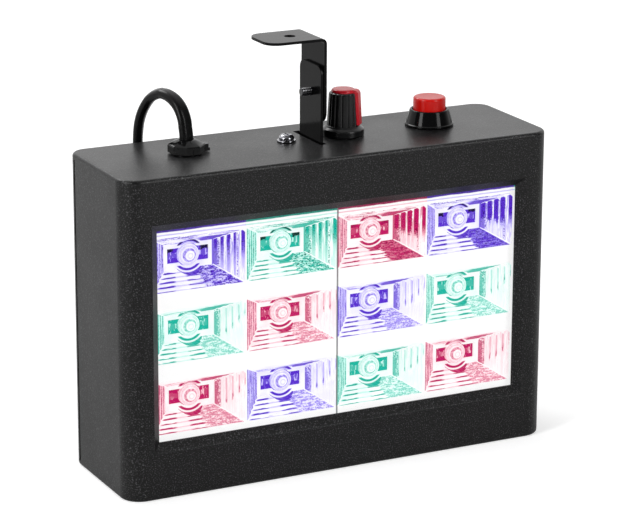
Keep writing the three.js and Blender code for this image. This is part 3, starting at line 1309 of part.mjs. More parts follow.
function buildPlugPins(plug) {
  const pin = turned([
    [0, 0],
    [PIN_RADIUS, 0],
    [PIN_RADIUS, PIN_LENGTH - PIN_ROUND],
    [PIN_RADIUS - PIN_ROUND, PIN_LENGTH],
    [0, PIN_LENGTH],
  ], SMALL_SIDES);
  const start = PLUG_LENGTH + RUNNING_GAP;
  const places = SIDES.map((side, i) => [`plug_pin_${i + 1}`, start, (side * PIN_SPACING) / 2, 0]);
  pieces(toGeometry(pin).rotateY(Math.PI / 2), CHROME, places, plug);
}

function buildCord() {
  const bushing = controlGroup(BUSHING_X, BUSHING_SETBACK);
  piece('cord_bushing', cordBushing(), GLOSS_BLACK, bushing);
  const cord = new THREE.Group();
  cord.position.set(BUSHING_X, CONTROL_Y + BUSHING_SETBACK, 0);
  cord.rotation.z = THREE.MathUtils.degToRad(CORD_TURN);
  strobe.add(cord);
  piece('power_cord', powerCord(), SOFT_BLACK, cord);
  const path = coilPath();
  const rings = woundRings(path, flatSection(CORD_WIDTH, CORD_THICKNESS, COIL_SIDES));
  piece('cord_coil', loft(rings), SOFT_BLACK, cord);
  console.log('least gap of the coil to itself, mm:', leastGap(rings, COIL_TURN_STEPS / 2).toFixed(2));
  const plug = new THREE.Group();
  plug.position.copy(path.at(-1)).add(new THREE.Vector3(0, -RUNNING_GAP, 0));
  plug.rotation.z = -Math.PI / 2;
  cord.add(plug);
  piece('plug_body', plugBody(), SOFT_BLACK, plug);
  buildPlugPins(plug);
}

piece('front_shell', frontShell(), SATIN_BLACK);
piece('rear_cover', rearCover(), SATIN_BLACK);
piece('window_pane', windowPane(), CLEAR);
piece('reflector_left', reflector(-1), MIRROR);
piece('reflector_right', reflector(1), MIRROR);
piece('lamp_board', lampBoard(), BOARD_WHITE);
buildCoverScrews();
buildLampBoardScrews();
buildLampBeads();
buildBracket();
buildSpeedControl();
buildSwitch();
buildDriver();
buildLeads();
buildCord();

export default strobe;
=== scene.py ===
# The looks of the mini strobe light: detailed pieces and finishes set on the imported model.
# Metres and degrees, +Z up, the window faces -Y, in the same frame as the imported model.
# The tables of turned shapes are in millimetres, as (radius, height, round of the corner).

import math

import bmesh
import bpy
from mathutils import Matrix, Quaternion, Vector


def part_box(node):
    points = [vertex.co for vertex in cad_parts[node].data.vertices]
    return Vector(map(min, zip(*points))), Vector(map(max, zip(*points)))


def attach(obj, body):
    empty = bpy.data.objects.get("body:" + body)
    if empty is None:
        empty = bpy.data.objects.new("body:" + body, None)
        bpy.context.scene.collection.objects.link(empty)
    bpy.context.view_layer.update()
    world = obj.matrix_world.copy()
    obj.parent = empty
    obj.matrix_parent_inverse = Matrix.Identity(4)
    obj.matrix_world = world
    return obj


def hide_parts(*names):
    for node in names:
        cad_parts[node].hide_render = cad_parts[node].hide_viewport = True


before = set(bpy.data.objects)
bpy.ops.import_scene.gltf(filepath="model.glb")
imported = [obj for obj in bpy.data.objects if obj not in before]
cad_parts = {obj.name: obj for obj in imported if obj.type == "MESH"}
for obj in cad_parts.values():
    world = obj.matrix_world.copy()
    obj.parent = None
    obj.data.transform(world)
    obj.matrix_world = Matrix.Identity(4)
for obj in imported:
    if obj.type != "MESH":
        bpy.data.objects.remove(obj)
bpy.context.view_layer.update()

# Camera: place in metres, angles in degrees, lens and clipping as the camera takes them
CAMERA_PLACE = (-0.44448, -0.88761, 0.36362)
CAMERA_PITCH = 73.44
CAMERA_HEADING = -26.52
CAMERA_ROLL = 0.17
CAMERA_LENS = 170.4
CAMERA_NEAR = 0.05
CAMERA_FAR = 20

# Housing
SIDE_X = 0.0825
FRONT_Y = -0.025
BACK_Y = 0.025
TOP_Z = 0.114
FRONT_CORNER = 0.0074
REAR_CORNER = 0.0062
EDGE_ROUND = 0.0012
WALL = 0.002
FRONT_WALL = 0.0032
COVER_Y = 0.018
COVER_GAP = 0.0003
COVER_EDGE = 0.0002
SEAM_WIDTH = 0.001
SEAM_DEPTH = 0.0009
WELL_RADIUS = 0.00335
WELL_DEPTH = 0.0024
OVERRUN = 0.001

# Window
BEVEL_X = 0.0725
BEVEL_LOW = 0.017
BEVEL_HIGH = 0.098
BEVEL_INSET = 0.0029
BEVEL_DEPTH = 0.0027
RIM_ROUND = 0.0005
RIM_STEPS = 3

# Reflector mouldings: six cups in each half, two columns by three rows
COLUMNS = 4
ROWS = 3
MOUTH_Y = -0.0196
FLOOR_Y = -0.0105
REAR_Y = -0.0093
COLUMN_PITCH = 0.0352
ROW_PITCH = 0.0254
MIDDLE_Z = 0.0565
CELL_WIDTH = 0.0349
CELL_HEIGHT = 0.0194
FLOOR_WIDTH = 0.0188
FLOOR_HEIGHT = 0.0092
PLATE = 0.0012
FLANGE = 0.0014
HALF_GAP = 0.00015
CUT_STEP = 0.0002
SLOT_WIDTH = 0.0158
SLOT_HEIGHT = 0.0055
HOLE_RADIUS = 0.0042
POCKET_RADIUS = 0.0063
POCKET_REACH = 0.0034
FLUTES = 5
FLUTE_STEPS = 6
FLUTE_RISE = 0.0005

# Lamp beads, from the back of the reflector forward: a rimmed body and a domed lens
BEAD_BODY = [
    (0, 0, 0), (3.95, 0, 0), (3.95, 1.5, 0.4), (3.1, 1.8, 0.2), (2.9, 1.5, 0.2), (0, 1.5, 0),
]
BEAD_LENS = [
    (0, 1.4, 0), (2.7, 1.4, 0), (2.7, 1.9, 0.2), (2.0, 2.1, 0.2), (1.7, 2.9, 0.7), (0, 3.2, 0),
]
BEAD_LEAD_REACH = 0.0072
BEAD_LEAD_WIDTH = 0.0024
BEAD_LEAD_THICKNESS = 0.0004
BEAD_LEAD_STEP = 0.0058
BEAD_LEAD_NECK = 0.0016
BEAD_SIDES = 48

# Row of controls along the top
CONTROL_Y = 0.0026
SLOT_X = (-0.0006, 0.002)
SLOT_Y = (-0.0071, 0.0149)

# Knob, from its own axis and the top face
KNOB_X = 0.0132
KNOB_TURN = -44
KNOB_SIDES = 96
SKIRT = [
    (0, 0.3, 0), (7.5, 0.3, 0.25), (7.5, 2.5, 0.7), (6.4, 3.3, 0.5), (5.9, 3.9, 0.3), (0, 3.9, 0),
]
GRIP = [(5.75, 3.0), (5.75, 4.0), (5.1, 14.8), (4.95, 15.4), (4.6, 15.65)]
GRIP_FACES = 14
GRIP_FACE_POINTS = 12
GRIP_GROOVE = 0.00028
GRIP_GROOVE_SHARE = 0.13
POINTER_SLOT = (0.0035, 0.009)
POINTER_SLOT_HALF = 0.0017
POINTER_SLOT_LOW = 0.0041
CAP = [
    (0, 15.4, 0), (4.2, 15.4, 0.1), (4.25, 16.0, 0.2),
    (3.95, 16.75, 0.6), (2.0, 16.8, 3.0), (0, 16.75, 0),
]
POINTER = [
    (3.6, 4.2, 0), (6.5, 4.2, 0.25), (5.85, 16.72, 1.6),
    (2.0, 16.72, 0), (2.0, 15.8, 0), (3.6, 15.8, 0),
]
POINTER_HALF = 0.0015
CAP_EDGE = 0.00018

# Push switch, from its own axis and the top face
SWITCH_X = 0.0478
COLLAR = [
    (0, -16.0, 0), (7.6, -16.0, 0.3), (7.6, 0.2, 0), (8.75, 0.2, 0.2), (8.75, 0.9, 0.25),
    (8.35, 1.1, 0.1), (6.95, 6.0, 0.4), (6.2, 6.0, 0.2), (6.2, -10.0, 0), (0, -10.0, 0),
]
# The two connecting blades under the switch
SWITCH_BLADE_X = (0.0026, 0.0034)
SWITCH_BLADE_HALF = 0.0014
SWITCH_BLADE_Z = (-0.022, -0.0158)
# The button with its stem and the groove that the spring stands in
BUTTON = [
    (0, -6.5, 0), (2.2, -6.5, 0.2), (2.2, 3.5, 0), (3.1, 3.5, 0), (3.1, 5.4, 0),
    (4.8, 5.4, 0), (4.8, 3.5, 0), (5.8, 3.5, 0), (5.8, 10.5, 0.8), (3.5, 10.35, 4.0), (0, 10.3, 0),
]

# Cord bushing, from its own axis and the top face: an octagon of two halves, a lug at one side
BUSHING_X = -0.047
BUSHING_Y = 0.0033
BUSHING_SIDES = 8
BUSHING_HEAD = [(5.9, 0.2), (6.5, 0.5), (6.5, 2.9), (6.2, 3.3), (3.4, 4.75)]
BUSHING_NECK = [
    (0, 1, 0), (5.2, 1, 0), (5.2, -2.4, 0), (6.0, -3.2, 0.2), (4.6, -9.6, 0.3), (0, -9.6, 0),
]
BUSHING_LUG = (0.0054, 0.0081)
BUSHING_LUG_HALF = 0.0018
BUSHING_LUG_Z = (0.00035, 0.0028)
BUSHING_LUG_NOTCH = 0.0005
BUSHING_MOUTH_Z = 0.0026
BUSHING_MOUTH_ROOM = 0.0006
BUSHING_PARTING = 0.0002
BUSHING_PARTING_Z = 0.0041
BUSHING_PARTING_Y = 0.0059
BUSHING_EDGE = 0.00012

# Bracket strips and their pivot
STRIP = 0.001
LOWER_FACE_X = 0.0012
LOWER_LEVEL_Z = 0.1108
LOWER_END_Z = 0.1413
LOWER_FOOT = 0.0182
LOWER_HALF = 0.0083
LOWER_BEND = 0.0004
LOWER_CORNER = 0.003
UPPER_FACE_X = 0.0025
UPPER_LEVEL_Z = 0.1513
UPPER_END_Z = 0.121
UPPER_FLANGE = 0.0223
UPPER_Y = (-0.0058, 0.0122)
UPPER_BEND = 0.001
UPPER_CORNER = 0.004
FLANGE_CORNER = 0.005
UPPER_HOLE_ROOM = 0.0003
HANG_HOLE = (-0.0075, 0.0032)
HANG_HOLE_RADIUS = 0.002
STRIP_EDGE = 0.00012
PIVOT_Z = 0.1311
PIVOT_SEAT_X = 0.0027
PIVOT_LENGTH = 0.0062
FOOT_X = -0.009
FOOT_SEAT_Z = 0.1149
FOOT_LENGTH = 0.0075
FOOT_WASHER = [(1.65, 0.2, 0), (3.35, 0.2, 0.12), (3.35, 0.7, 0.15), (1.65, 0.7, 0.1)]

# Pan head screws, from the seat up
HEAD = [(0, 0, 0), (2.75, 0, 0.15), (2.75, 0.75, 0.6), (1.9, 1.7, 1.2), (0, 1.9, 0)]
SCREW_RADIUS = 0.0015
RECESS_TOP = (0.00155, 0.00036)
RECESS_END = (0.0006, 0.0002)
RECESS_DEPTH = 0.0012
HEAD_HEIGHT = 0.0019
THREAD_PITCH = 0.0006
THREAD_DEPTH = 0.00028
THREAD_SIDES = 24
THREAD_STEPS = 6
COVER_SCREWS = 4
COVER_SCREW_SEAT_Y = 0.0228
COVER_SCREW_LENGTH = 0.012

# Cord: a flat twin lead that arches back over the housing and drops behind it to a coil.
# Its points are (distance behind the bushing, height), in the cord's own upright plane.
CORD_TURN = 14.25
CORD_WIDTH = 0.0052
CORD_THICKNESS = 0.0034
CORD_SIDES = 20
CORD_START_Z = 0.1173
CORD_POINTS = [
    (0, 0.1200), (0.0004, 0.1224), (0.0011, 0.1258), (0.0035, 0.1295), (0.0074, 0.1319),
    (0.0132, 0.1326), (0.0190, 0.1303), (0.0234, 0.1258), (0.0260, 0.1211), (0.0272, 0.1160),
    (0.0276, 0.1060), (0.0279, 0.0750), (0.0280, 0.0400), (0.0280, 0.0219), (0.0295, 0.0142),
    (0.0339, 0.0078), (0.0403, 0.0034), (0.0480, 0.0019),
]
SPAN_STEPS = 6
COIL_RADIUS = 0.0322
COIL_PITCH = 0.0058
COIL_RISE = 0.0039
COIL_TURNS = 4.25
COIL_CLIMB = 0.5
TURN_STEPS = 48
COIL_GAP = 0.0003
TAIL_STRAIGHT = 0.034
TAIL_RADIUS = 0.021
TAIL_DIP_START = 0.016
TAIL_STEPS = 32
TWIST = -62
TWIST_FROM = 0.0132
TWIST_SHAPE = 0.35

# Tie round the turns of the coil
TIE_ANGLE = -45
TIE_INNER = 0.0199
TIE_OUTER = 0.0315
TIE_TOP = 0.0077
TIE_WIDTH = 0.006
TIE_THICKNESS = 0.0005
TIE_CORNER = 0.0016
TIE_TONGUE = (0.0045, 0.009)

# Plug with two round pins, along its own axis from the cord. Its sections are in millimetres,
# as (distance, half width, half height, corner).
PLUG_SECTIONS = [
    (0, 5.6, 4.2, 3.0), (0.6, 6.6, 4.9, 3.6), (2.2, 6.9, 5.2, 3.8), (2.6, 6.3, 4.7, 3.4),
    (3.4, 6.3, 4.7, 3.4), (3.8, 7.0, 5.3, 3.8), (5.2, 7.1, 5.4, 3.8), (5.6, 6.5, 4.9, 3.4),
    (6.4, 6.5, 4.9, 3.4), (6.8, 7.2, 5.4, 3.8), (8.6, 7.6, 5.6, 3.8), (12.0, 10.0, 5.7, 3.6),
    (16.0, 13.4, 5.8, 3.4), (20.0, 16.4, 5.8, 3.2), (23.0, 17.6, 5.8, 3.0),
    (31.5, 17.65, 5.8, 3.0), (34.0, 17.4, 5.6, 2.8), (35.0, 16.4, 4.8, 2.2),
]
PLUG_STEPS = 6
PIN_START = 0.0353
PIN_HALF_SPACING = 0.0095
PIN_SLEEVE = [(0, 0, 0), (2.0, 0, 0), (2.0, 8.6, 0.2), (1.85, 8.9, 0), (0, 8.9, 0)]
PIN = [(0, 8.5, 0), (1.95, 8.5, 0), (1.95, 17.6, 1.0), (0.9, 19.0, 0.5), (0, 19.0, 0)]
PIN_SIDES = 32

# Facets, and the angles from which an edge counts as sharp
CORNER_STEPS = 10
ARC_STEPS = 5
TURNED_SIDES = 64
FINE_SIDES = 32
SHARP = 32
SHARP_FLUTES = 50

MILLIMETRE = 0.001
TINY = 1e-7


# Outlines

def rounded(corners, closed=True, steps=ARC_STEPS):
    """An outline whose corners (u, v, radius) are turned by arcs."""
    points = []
    count = len(corners)
    for i, (u, v, radius) in enumerate(corners):
        here = Vector((u, v))
        inner = closed or 0 < i < count - 1
        if not inner or radius <= 0:
            points.append(here)
            continue
        before = (Vector(corners[i - 1][:2]) - here).normalized()
        after = (Vector(corners[(i + 1) % count][:2]) - here).normalized()
        half = before.angle(after) / 2
        centre = here + (before + after).normalized() * (radius / math.sin(half))
        start = here + before * (radius / math.tan(half)) - centre
        sweep = math.pi - 2 * half
        way = 1 if before.x * after.y - before.y * after.x < 0 else -1
        for step in range(steps + 1):
            turn = Matrix.Rotation(way * sweep * step / steps, 2)
            points.append(centre + turn @ start)
    return points


def rectangle(u0, u1, v0, v1, radius=0):
    """The corners of a rectangle, counter-clockwise."""
    return [(u0, v0, radius), (u1, v0, radius), (u1, v1, radius), (u0, v1, radius)]


def on_circle(radius, angle, height):
    """A point round the Z axis, at an angle in radians."""
    return (radius * math.cos(angle), radius * math.sin(angle), height)


def in_metres(profile):
    """A profile given in millimetres."""
    return [tuple(number * MILLIMETRE for number in point) for point in profile]


def housing_outline(inset=0):
    """The plan of the housing with its rounded corners."""
    x = SIDE_X - inset
    front = max(FRONT_CORNER - inset, 0)
    rear = max(REAR_CORNER - inset, 0)
    y0, y1 = FRONT_Y + inset, BACK_Y - inset
    corners = [(-x, y0, front), (x, y0, front), (x, y1, rear), (-x, y1, rear)]
    return rounded(corners, steps=CORNER_STEPS)


def flat_section(room=0):
    """The stadium shape of the cord's sheath round two cores, or of a hole with room for it."""
    half_width, half_thickness = (CORD_WIDTH + room) / 2, (CORD_THICKNESS + room) / 2
    corners = rectangle(
        -half_width, half_width, -half_thickness, half_thickness, half_thickness - TINY)
    return rounded(corners, steps=CORD_SIDES // 4 - 1)


# Meshes

def piece_from(name, bm):
    """An object from mesh code, with its faces turned outward."""
    bmesh.ops.remove_doubles(bm, verts=bm.verts, dist=TINY)
    bmesh.ops.recalc_face_normals(bm, faces=bm.faces)
    mesh = bpy.data.meshes.new(name)
    bm.to_mesh(mesh)
    bm.free()
    piece = bpy.data.objects.new(name, mesh)
    bpy.context.scene.collection.objects.link(piece)
    return piece


def loft(name, rings, endless=False):
    """A closed solid between rings of points; when endless, the last ring meets the first."""
    bm = bmesh.new()
    rows = [[bm.verts.new(point) for point in ring] for ring in rings]
    count = len(rows[0])
    pairs = list(zip(rows, rows[1:]))
    if endless:
        pairs.append((rows[-1], rows[0]))
    for near, far in pairs:
        for i in range(count):
            j = (i + 1) % count
            bm.faces.new((near[i], near[j], far[j], far[i]))
    if not endless:
        bm.faces.new(list(reversed(rows[0])))
        bm.faces.new(rows[-1])
    return piece_from(name, bm)


AXES = {
    "x": lambda u, v, d: (d, u, v),
    "y": lambda u, v, d: (u, d, v),
    "z": lambda u, v, d: (u, v, d),
}


def slab(name, outline, axis, start, end):
    """An outline drawn out along an axis."""
    place = AXES[axis]
    return loft(name, [[place(p[0], p[1], d) for p in outline] for d in (start, end)])


def block(name, x0, x1, y0, y1, z0, z1):
    """A box between two values on each axis."""
    return slab(name, rounded(rectangle(x0, x1, y0, y1)), "z", z0, z1)


def turned(name, profile, axis="z", centre=(0, 0, 0), sides=TURNED_SIDES, way=1, endless=False):
    """A profile turned about an axis through centre; way -1 runs it backward along the axis."""
    place = AXES[axis]
    outline = rounded(profile, closed=endless)
    rings = []
    for radius, height in outline:
        ring = []
        for i in range(sides):
            angle = 2 * math.pi * (i + 1 / 2) / sides
            spot = place(radius * math.cos(angle), radius * math.sin(angle), way * height)
            ring.append(Vector(spot) + Vector(centre))
        rings.append(ring)
    return loft(name, rings, endless)


def rod(name, radius, start, end, axis="y", centre=(0, 0, 0), sides=FINE_SIDES):
    """A round rod along an axis through centre."""
    profile = [(0, start, 0), (radius, start, 0), (radius, end, 0), (0, end, 0)]
    return turned(name, profile, axis, centre, sides)


def settle(piece):
    """Applies the modifiers of a piece."""
    graph = bpy.context.evaluated_depsgraph_get()
    old = piece.data
    piece.data = bpy.data.meshes.new_from_object(piece.evaluated_get(graph))
    piece.modifiers.clear()
    bpy.data.meshes.remove(old)
    return piece


def combine(piece, tools, how):
    """Cuts, joins or meets a piece with other solids, which are used up."""
    for tool in tools:
        modifier = piece.modifiers.new(how, "BOOLEAN")
        modifier.object = tool
        modifier.operation = how
        modifier.solver = "EXACT"
        modifier.use_hole_tolerant = True
    settle(piece)
    for tool in tools:
        bpy.data.objects.remove(tool)
    return piece


def cut(piece, *tools):
    return combine(piece, tools, "DIFFERENCE")


def join(piece, *tools):
    return combine(piece, tools, "UNION")


def meet(piece, *tools):
    return combine(piece, tools, "INTERSECT")


def soften(piece, width, segments=2):
    """Breaks the sharp edges of a piece."""
    modifier = piece.modifiers.new("broken_edges", "BEVEL")
    modifier.width = width
    modifier.segments = segments
    modifier.limit_method = "ANGLE"
    modifier.angle_limit = math.radians(SHARP)
    return settle(piece)


def finish(piece, body, surface, stands_for=(), sharp=SHARP):
    """Gives a piece its shading, its surface in a material slot and its body, and hides the nodes
    it stands for.
    """
    piece.data.materials.clear()
    piece.data.materials.append(surface)
    piece.data.shade_smooth()
    piece.data.set_sharp_from_angle(angle=math.radians(sharp))
    normals = piece.modifiers.new("even_shading", "WEIGHTED_NORMAL")
    normals.keep_sharp = True
    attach(piece, body)
    if stands_for:
        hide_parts(*stands_for)
    return piece


# Camera

def build_camera():
    """The viewpoint of the photograph, with depth of field and shift left off."""
    camera = bpy.data.objects.new("camera", bpy.data.cameras.new("camera"))
    bpy.context.scene.collection.objects.link(camera)
    camera.data.lens = CAMERA_LENS
    camera.data.clip_start = CAMERA_NEAR
    camera.data.clip_end = CAMERA_FAR
    camera.location = CAMERA_PLACE
    camera.rotation_mode = "QUATERNION"
    tilt = Matrix.Rotation(math.radians(CAMERA_PITCH), 3, "X")
    heading = Matrix.Rotation(math.radians(CAMERA_HEADING), 3, "Z")
    roll = Matrix.Rotation(math.radians(CAMERA_ROLL), 3, "Z")
    camera.rotation_quaternion = (heading @ tilt @ roll).to_quaternion()
    bpy.context.scene.camera = camera


# Materials

WHITE = (1, 1, 1, 1)
BLACK = (0, 0, 0, 1)
PURPLE = (0.095, 0.022, 0.60, 1)
TEAL = (0.006, 0.46, 0.35, 1)
CRIMSON = (0.52, 0.004, 0.115, 1)
LAMP_COLOURS = {"purple": PURPLE, "teal": TEAL, "crimson": CRIMSON}

# Lamplight: how strongly the lit surfaces glow, how much of their colour other light may show,
# how much brighter a tint is than the full colour, and how much red sets the crimson lamps apart
GLOW = 0.85
REFLECTED = 0.25
TINT_GAIN = 2.2
CRIMSON_RED = (0.3, 0.15)

# Scales of the noise fields: first those of the painted reflections of the lamplight, then those of
# the finishes
STREAK_SCALE = 1500.0
HATCH_SCALE = 1300.0
HATCH_TURN = -30
SPECK_SCALE = 2000.0
DRIFT_SCALE = 160.0
BOARD_PATCH_SCALE = 420.0
BOARD_TICK_SCALE = 1500.0
LEAD_TICK_SCALE = 1100.0
BEAD_CLOUD_SCALE = 1300.0
SMEAR_SCALE = 70.0
BLOTCH_SCALE = 60.0
PATCH_SCALE = 28.0

# Where the painted tones of lamplight and shade lie in and round a cup: a soft step from zero to
# one, or a middle and a reach
# Painted shade in the gap between the reflector halves
GAP_SHADE_EDGE = (0.0004, 0.00025)
POCKET_EDGE = (POCKET_RADIUS + 0.0002, POCKET_RADIUS + 0.0001)
SCOOP_LEVEL = (0.0034, 0.0038)
SCOOP_RING = (0.0052, 0.0006)
# Painted shade round the upper scoops
SCOOP_DUSK = (0.0053, 0.0003)
HOLE_RING = (0.0045, 0.0002)
SLOT_MARGIN = (0.0087, 0.009)
LAND_RIM = (0.0935, 0.0937)
LAND_LINE = (0.0926, 0.0003)
LAND_WAVER = 0.0006
# Painted shade on the lamp board at the upper corners of the slots in the top row
BOARD_WAVER = 0.005
BOARD_DARK_UP = (0.0006, 0.0014)
BOARD_DARK_OUT = (0.0048, 0.0054)

# Rings of tone on a lamp bead: how far out each lies, how far it reaches and how much colour it has
BEAD_RINGS = [
    (0.0040, 0.0003, 0.5), (0.0032, 0.0006, 0.42), (0.00265, 0.00025, 0.12),
    (0.0021, 0.0005, 0.85), (0.0009, 0.0003, 0.3),
]

# How much the roughness of a finish wanders, and how strong its grain or its rubbed lines are
PLASTIC_WANDER = (0.9, 1.1)
METAL_WANDER = (0.8, 1.3)
GRAIN_STRENGTH = 0.6
LINE_STRENGTH = 0.15
LINE_DEPTH = 0.00002


class Nodes:
    """A short way to lay out shader nodes in a material or a group."""

    def __init__(self, tree):
        self.tree = tree

    def add(self, kind, settings=None, **inputs):
        node = self.tree.nodes.new(kind)
        for name, value in (settings or {}).items():
            setattr(node, name, value)
        for name, value in inputs.items():
            self.feed(node.inputs[name.replace("_", " ")], value)
        return node

    def feed(self, socket, value):
        if isinstance(value, bpy.types.NodeSocket):
            self.tree.links.new(value, socket)
        else:
            socket.default_value = value

    def math(self, operation, *values):
        node = self.add("ShaderNodeMath", {"operation": operation})
        for socket, value in zip(node.inputs, values):
            self.feed(socket, value)
        return node.outputs[0]

    def less(self, value, other):
        """What is left of a value when the other is taken from it."""
        return self.math("SUBTRACT", value, other)

    def size(self, value):
        return self.math("ABSOLUTE", value)

    def over(self, value, limit):
        """One where a value is over the limit, else zero."""
        return self.math("GREATER_THAN", value, limit)

    def times(self, *values):
        result = values[0]
        for value in values[1:]:
            result = self.math("MULTIPLY", result, value)
        return result

    def most(self, *values):
        result = values[0]
        for value in values[1:]:
            result = self.math("MAXIMUM", result, value)
        return result

    def ramp(self, value, low, high, start=0.0, end=1.0, kind="SMOOTHSTEP"):
        """A rise from start to end while value goes from low to high."""
        node = self.add("ShaderNodeMapRange", {"interpolation_type": kind})
        labels = ("Value", "From Min", "From Max", "To Min", "To Max")
        for label, number in zip(labels, (value, low, high, start, end)):
            self.feed(node.inputs[label], number)
        return node.outputs["Result"]

    def line(self, value, low, high, start, end):
        return self.ramp(value, low, high, start, end, "LINEAR")

    def blend(self, share, start, end):
        """From start to end as the share goes from zero to one."""
        return self.line(share, 0.0, 1.0, start, end)

    def hump(self, value, middle, reach):
        """One at the middle and zero from reach on."""
        return self.ramp(self.size(self.less(value, middle)), reach / 2, reach, 1.0, 0.0)

    def shifted(self, value, field, strength):
        """A value that a noise field moves to and fro."""
        return self.math("MULTIPLY_ADD", self.less(field, 0.5), strength, value)

    def mix(self, share, first, second):
        """A colour between two, on the colour sockets of a Mix node."""
        node = self.add("ShaderNodeMix", {"data_type": "RGBA"})
        for number, value in ((0, share), (6, first), (7, second)):
            self.feed(node.inputs[number], value)
        return node.outputs[2]

    def place(self):
        """Where a point of the piece lies."""
        return self.add("ShaderNodeTexCoord").outputs["Object"]

    def split(self, vector):
        return self.add("ShaderNodeSeparateXYZ", Vector=vector).outputs

    def redness(self, colour):
        return self.add("ShaderNodeSeparateColor", Color=colour).outputs["Red"]

    def noise(self, vector, scale, detail=2.0, roughness=0.5, stretch=None, turn=None):
        if stretch:
            mapping = self.add("ShaderNodeMapping", Vector=vector, Scale=stretch)
            if turn:
                self.feed(mapping.inputs["Rotation"], turn)
            vector = mapping.outputs[0]
        inputs = {"Vector": vector, "Scale": scale, "Detail": detail, "Roughness": roughness}
        return self.add("ShaderNodeTexNoise", **inputs).outputs["Fac"]


def group(name, inputs, outputs):
    """A node group with named inputs (name, kind, value) and outputs (name, kind)."""
    tree = bpy.data.node_groups.new(name, "ShaderNodeTree")
    kinds = {"number": "NodeSocketFloat", "colour": "NodeSocketColor"}
    for label, kind, value in inputs:
        socket = tree.interface.new_socket(name=label, in_out="INPUT", socket_type=kinds[kind])
        socket.default_value = value
    for label, kind in outputs:
        tree.interface.new_socket(name=label, in_out="OUTPUT", socket_type=kinds[kind])
    given = tree.nodes.new("NodeGroupInput").outputs
    result = tree.nodes.new("NodeGroupOutput").inputs
    return tree, Nodes(tree), given, result


def moulded_grain():
    """Spark-eroded grain of moulded plastic: height, sparse painted glints of the crests, soft
    patches.
    """
    tree, nodes, given, result = group(
        "moulded_grain",
        [("Scale", "number", 2600.0), ("Glint", "number", 0.5)],
        [("Height", "number"), ("Glints", "number"), ("Patches", "number")],
    )
    place = nodes.place()
    points = nodes.noise(place, nodes.times(given["Scale"], 1.6), 1.0, 0.5)
    nodes.feed(result["Height"], nodes.noise(place, given["Scale"], 3.0, 0.6))
    nodes.feed(result["Glints"], nodes.times(nodes.ramp(points, 0.53, 0.78), given["Glint"]))
    nodes.feed(result["Patches"], nodes.noise(place, PATCH_SCALE, 2.0, 0.5))
    return tree


def hairlines():
    """Fine rubbed lines of handled metal or paint."""
    tree, nodes, given, result = group(
        "hairlines",
        [("Scale", "number", 300.0)],
        [("Lines", "number"), ("Blotches", "number")],
    )
    place = nodes.place()
    nodes.feed(result["Lines"], nodes.noise(place, given["Scale"], 3.0, 0.6, (1, 9, 1)))
    nodes.feed(result["Blotches"], nodes.noise(place, BLOTCH_SCALE, 3.0, 0.55))
    return tree


def lamp_cells():
    """Which lamp cell a point belongs to, its colour, and where in the cell it lies."""
    tree, nodes, given, result = group(
        "lamp_cells",
        [("Purple", "colour", PURPLE), ("Teal", "colour", TEAL), ("Crimson", "colour", CRIMSON)],
        [("Colour", "colour"), ("Across", "number"), ("Up", "number"), ("Depth", "number"),
         ("Top Row", "number"), ("Height", "number"), ("Radius", "number"),
         ("Bright", "colour"), ("Seam", "number"), ("Right Half", "number")],
    )
    split = nodes.split(nodes.place())

    # Which column and row, counted from the left and from the top, and so which colour
    across = nodes.math("ADD", nodes.math("DIVIDE", split["X"], COLUMN_PITCH), COLUMNS / 2)
    column = nodes.math("FLOOR", across)
    top = MIDDLE_Z + ROWS * ROW_PITCH / 2
    down = nodes.math("DIVIDE", nodes.less(top, split["Z"]), ROW_PITCH)
    row = nodes.most(nodes.math("FLOOR", down), 0.0)
    turn = nodes.math("MODULO", nodes.math("ADD", column, row), float(len(LAMP_COLOURS)))
    first = nodes.mix(nodes.over(turn, 0.5), given["Purple"], given["Teal"])
    colour = nodes.mix(nodes.over(turn, 1.5), first, given["Crimson"])
    bright = nodes.add(
        "ShaderNodeVectorMath", {"operation": "SCALE"}, Vector=colour, Scale=TINT_GAIN).outputs[0]

    # Where in the cell, in metres from its middle
    sideways = nodes.times(nodes.less(nodes.less(across, column), 0.5), COLUMN_PITCH)
    upward = nodes.times(nodes.less(0.5, nodes.less(down, row)), ROW_PITCH)
    squares = [nodes.times(value, value) for value in (sideways, upward)]
    found = {
        "Colour": colour,
        "Bright": bright,
        "Across": sideways,
        "Up": upward,
        "Radius": nodes.math("SQRT", nodes.math("ADD", *squares)),
        "Depth": nodes.line(split["Y"], MOUTH_Y, FLOOR_Y, 0.0, 1.0),
        "Top Row": nodes.math("LESS_THAN", row, 0.5),
        "Height": split["Z"],
        # Painted shade in the gap between the reflector halves
        "Seam": nodes.ramp(nodes.size(split["X"]), *GAP_SHADE_EDGE),
        "Right Half": nodes.over(split["X"], 0.0),
    }
    for label, value in found.items():
        nodes.feed(result[label], value)
    return tree


GROUP_MAKERS = {"moulded_grain": moulded_grain, "hairlines": hairlines, "lamp_cells": lamp_cells}
GROUPS = {}


def use(nodes, name, **inputs):
    """Places a shared group and returns its outputs."""
    if name not in GROUPS:
        GROUPS[name] = GROUP_MAKERS[name]()
    return nodes.add("ShaderNodeGroup", {"node_tree": GROUPS[name]}, **inputs).outputs


def material(name, **settings):
    """A Principled material; the settings go straight onto its sockets."""
    made = bpy.data.materials.new(name)
    made.use_nodes = True
    nodes = Nodes(made.node_tree)
    shader = made.node_tree.nodes["Principled BSDF"]
    for label, value in settings.items():
        nodes.feed(shader.inputs[label.replace("_", " ")], value)
    return made, nodes, shader.inputs


def bump(nodes, sockets, height, strength, distance):
    node = nodes.add("ShaderNodeBump", Height=height, Strength=strength, Distance=distance)
    nodes.feed(sockets["Normal"], node.outputs[0])


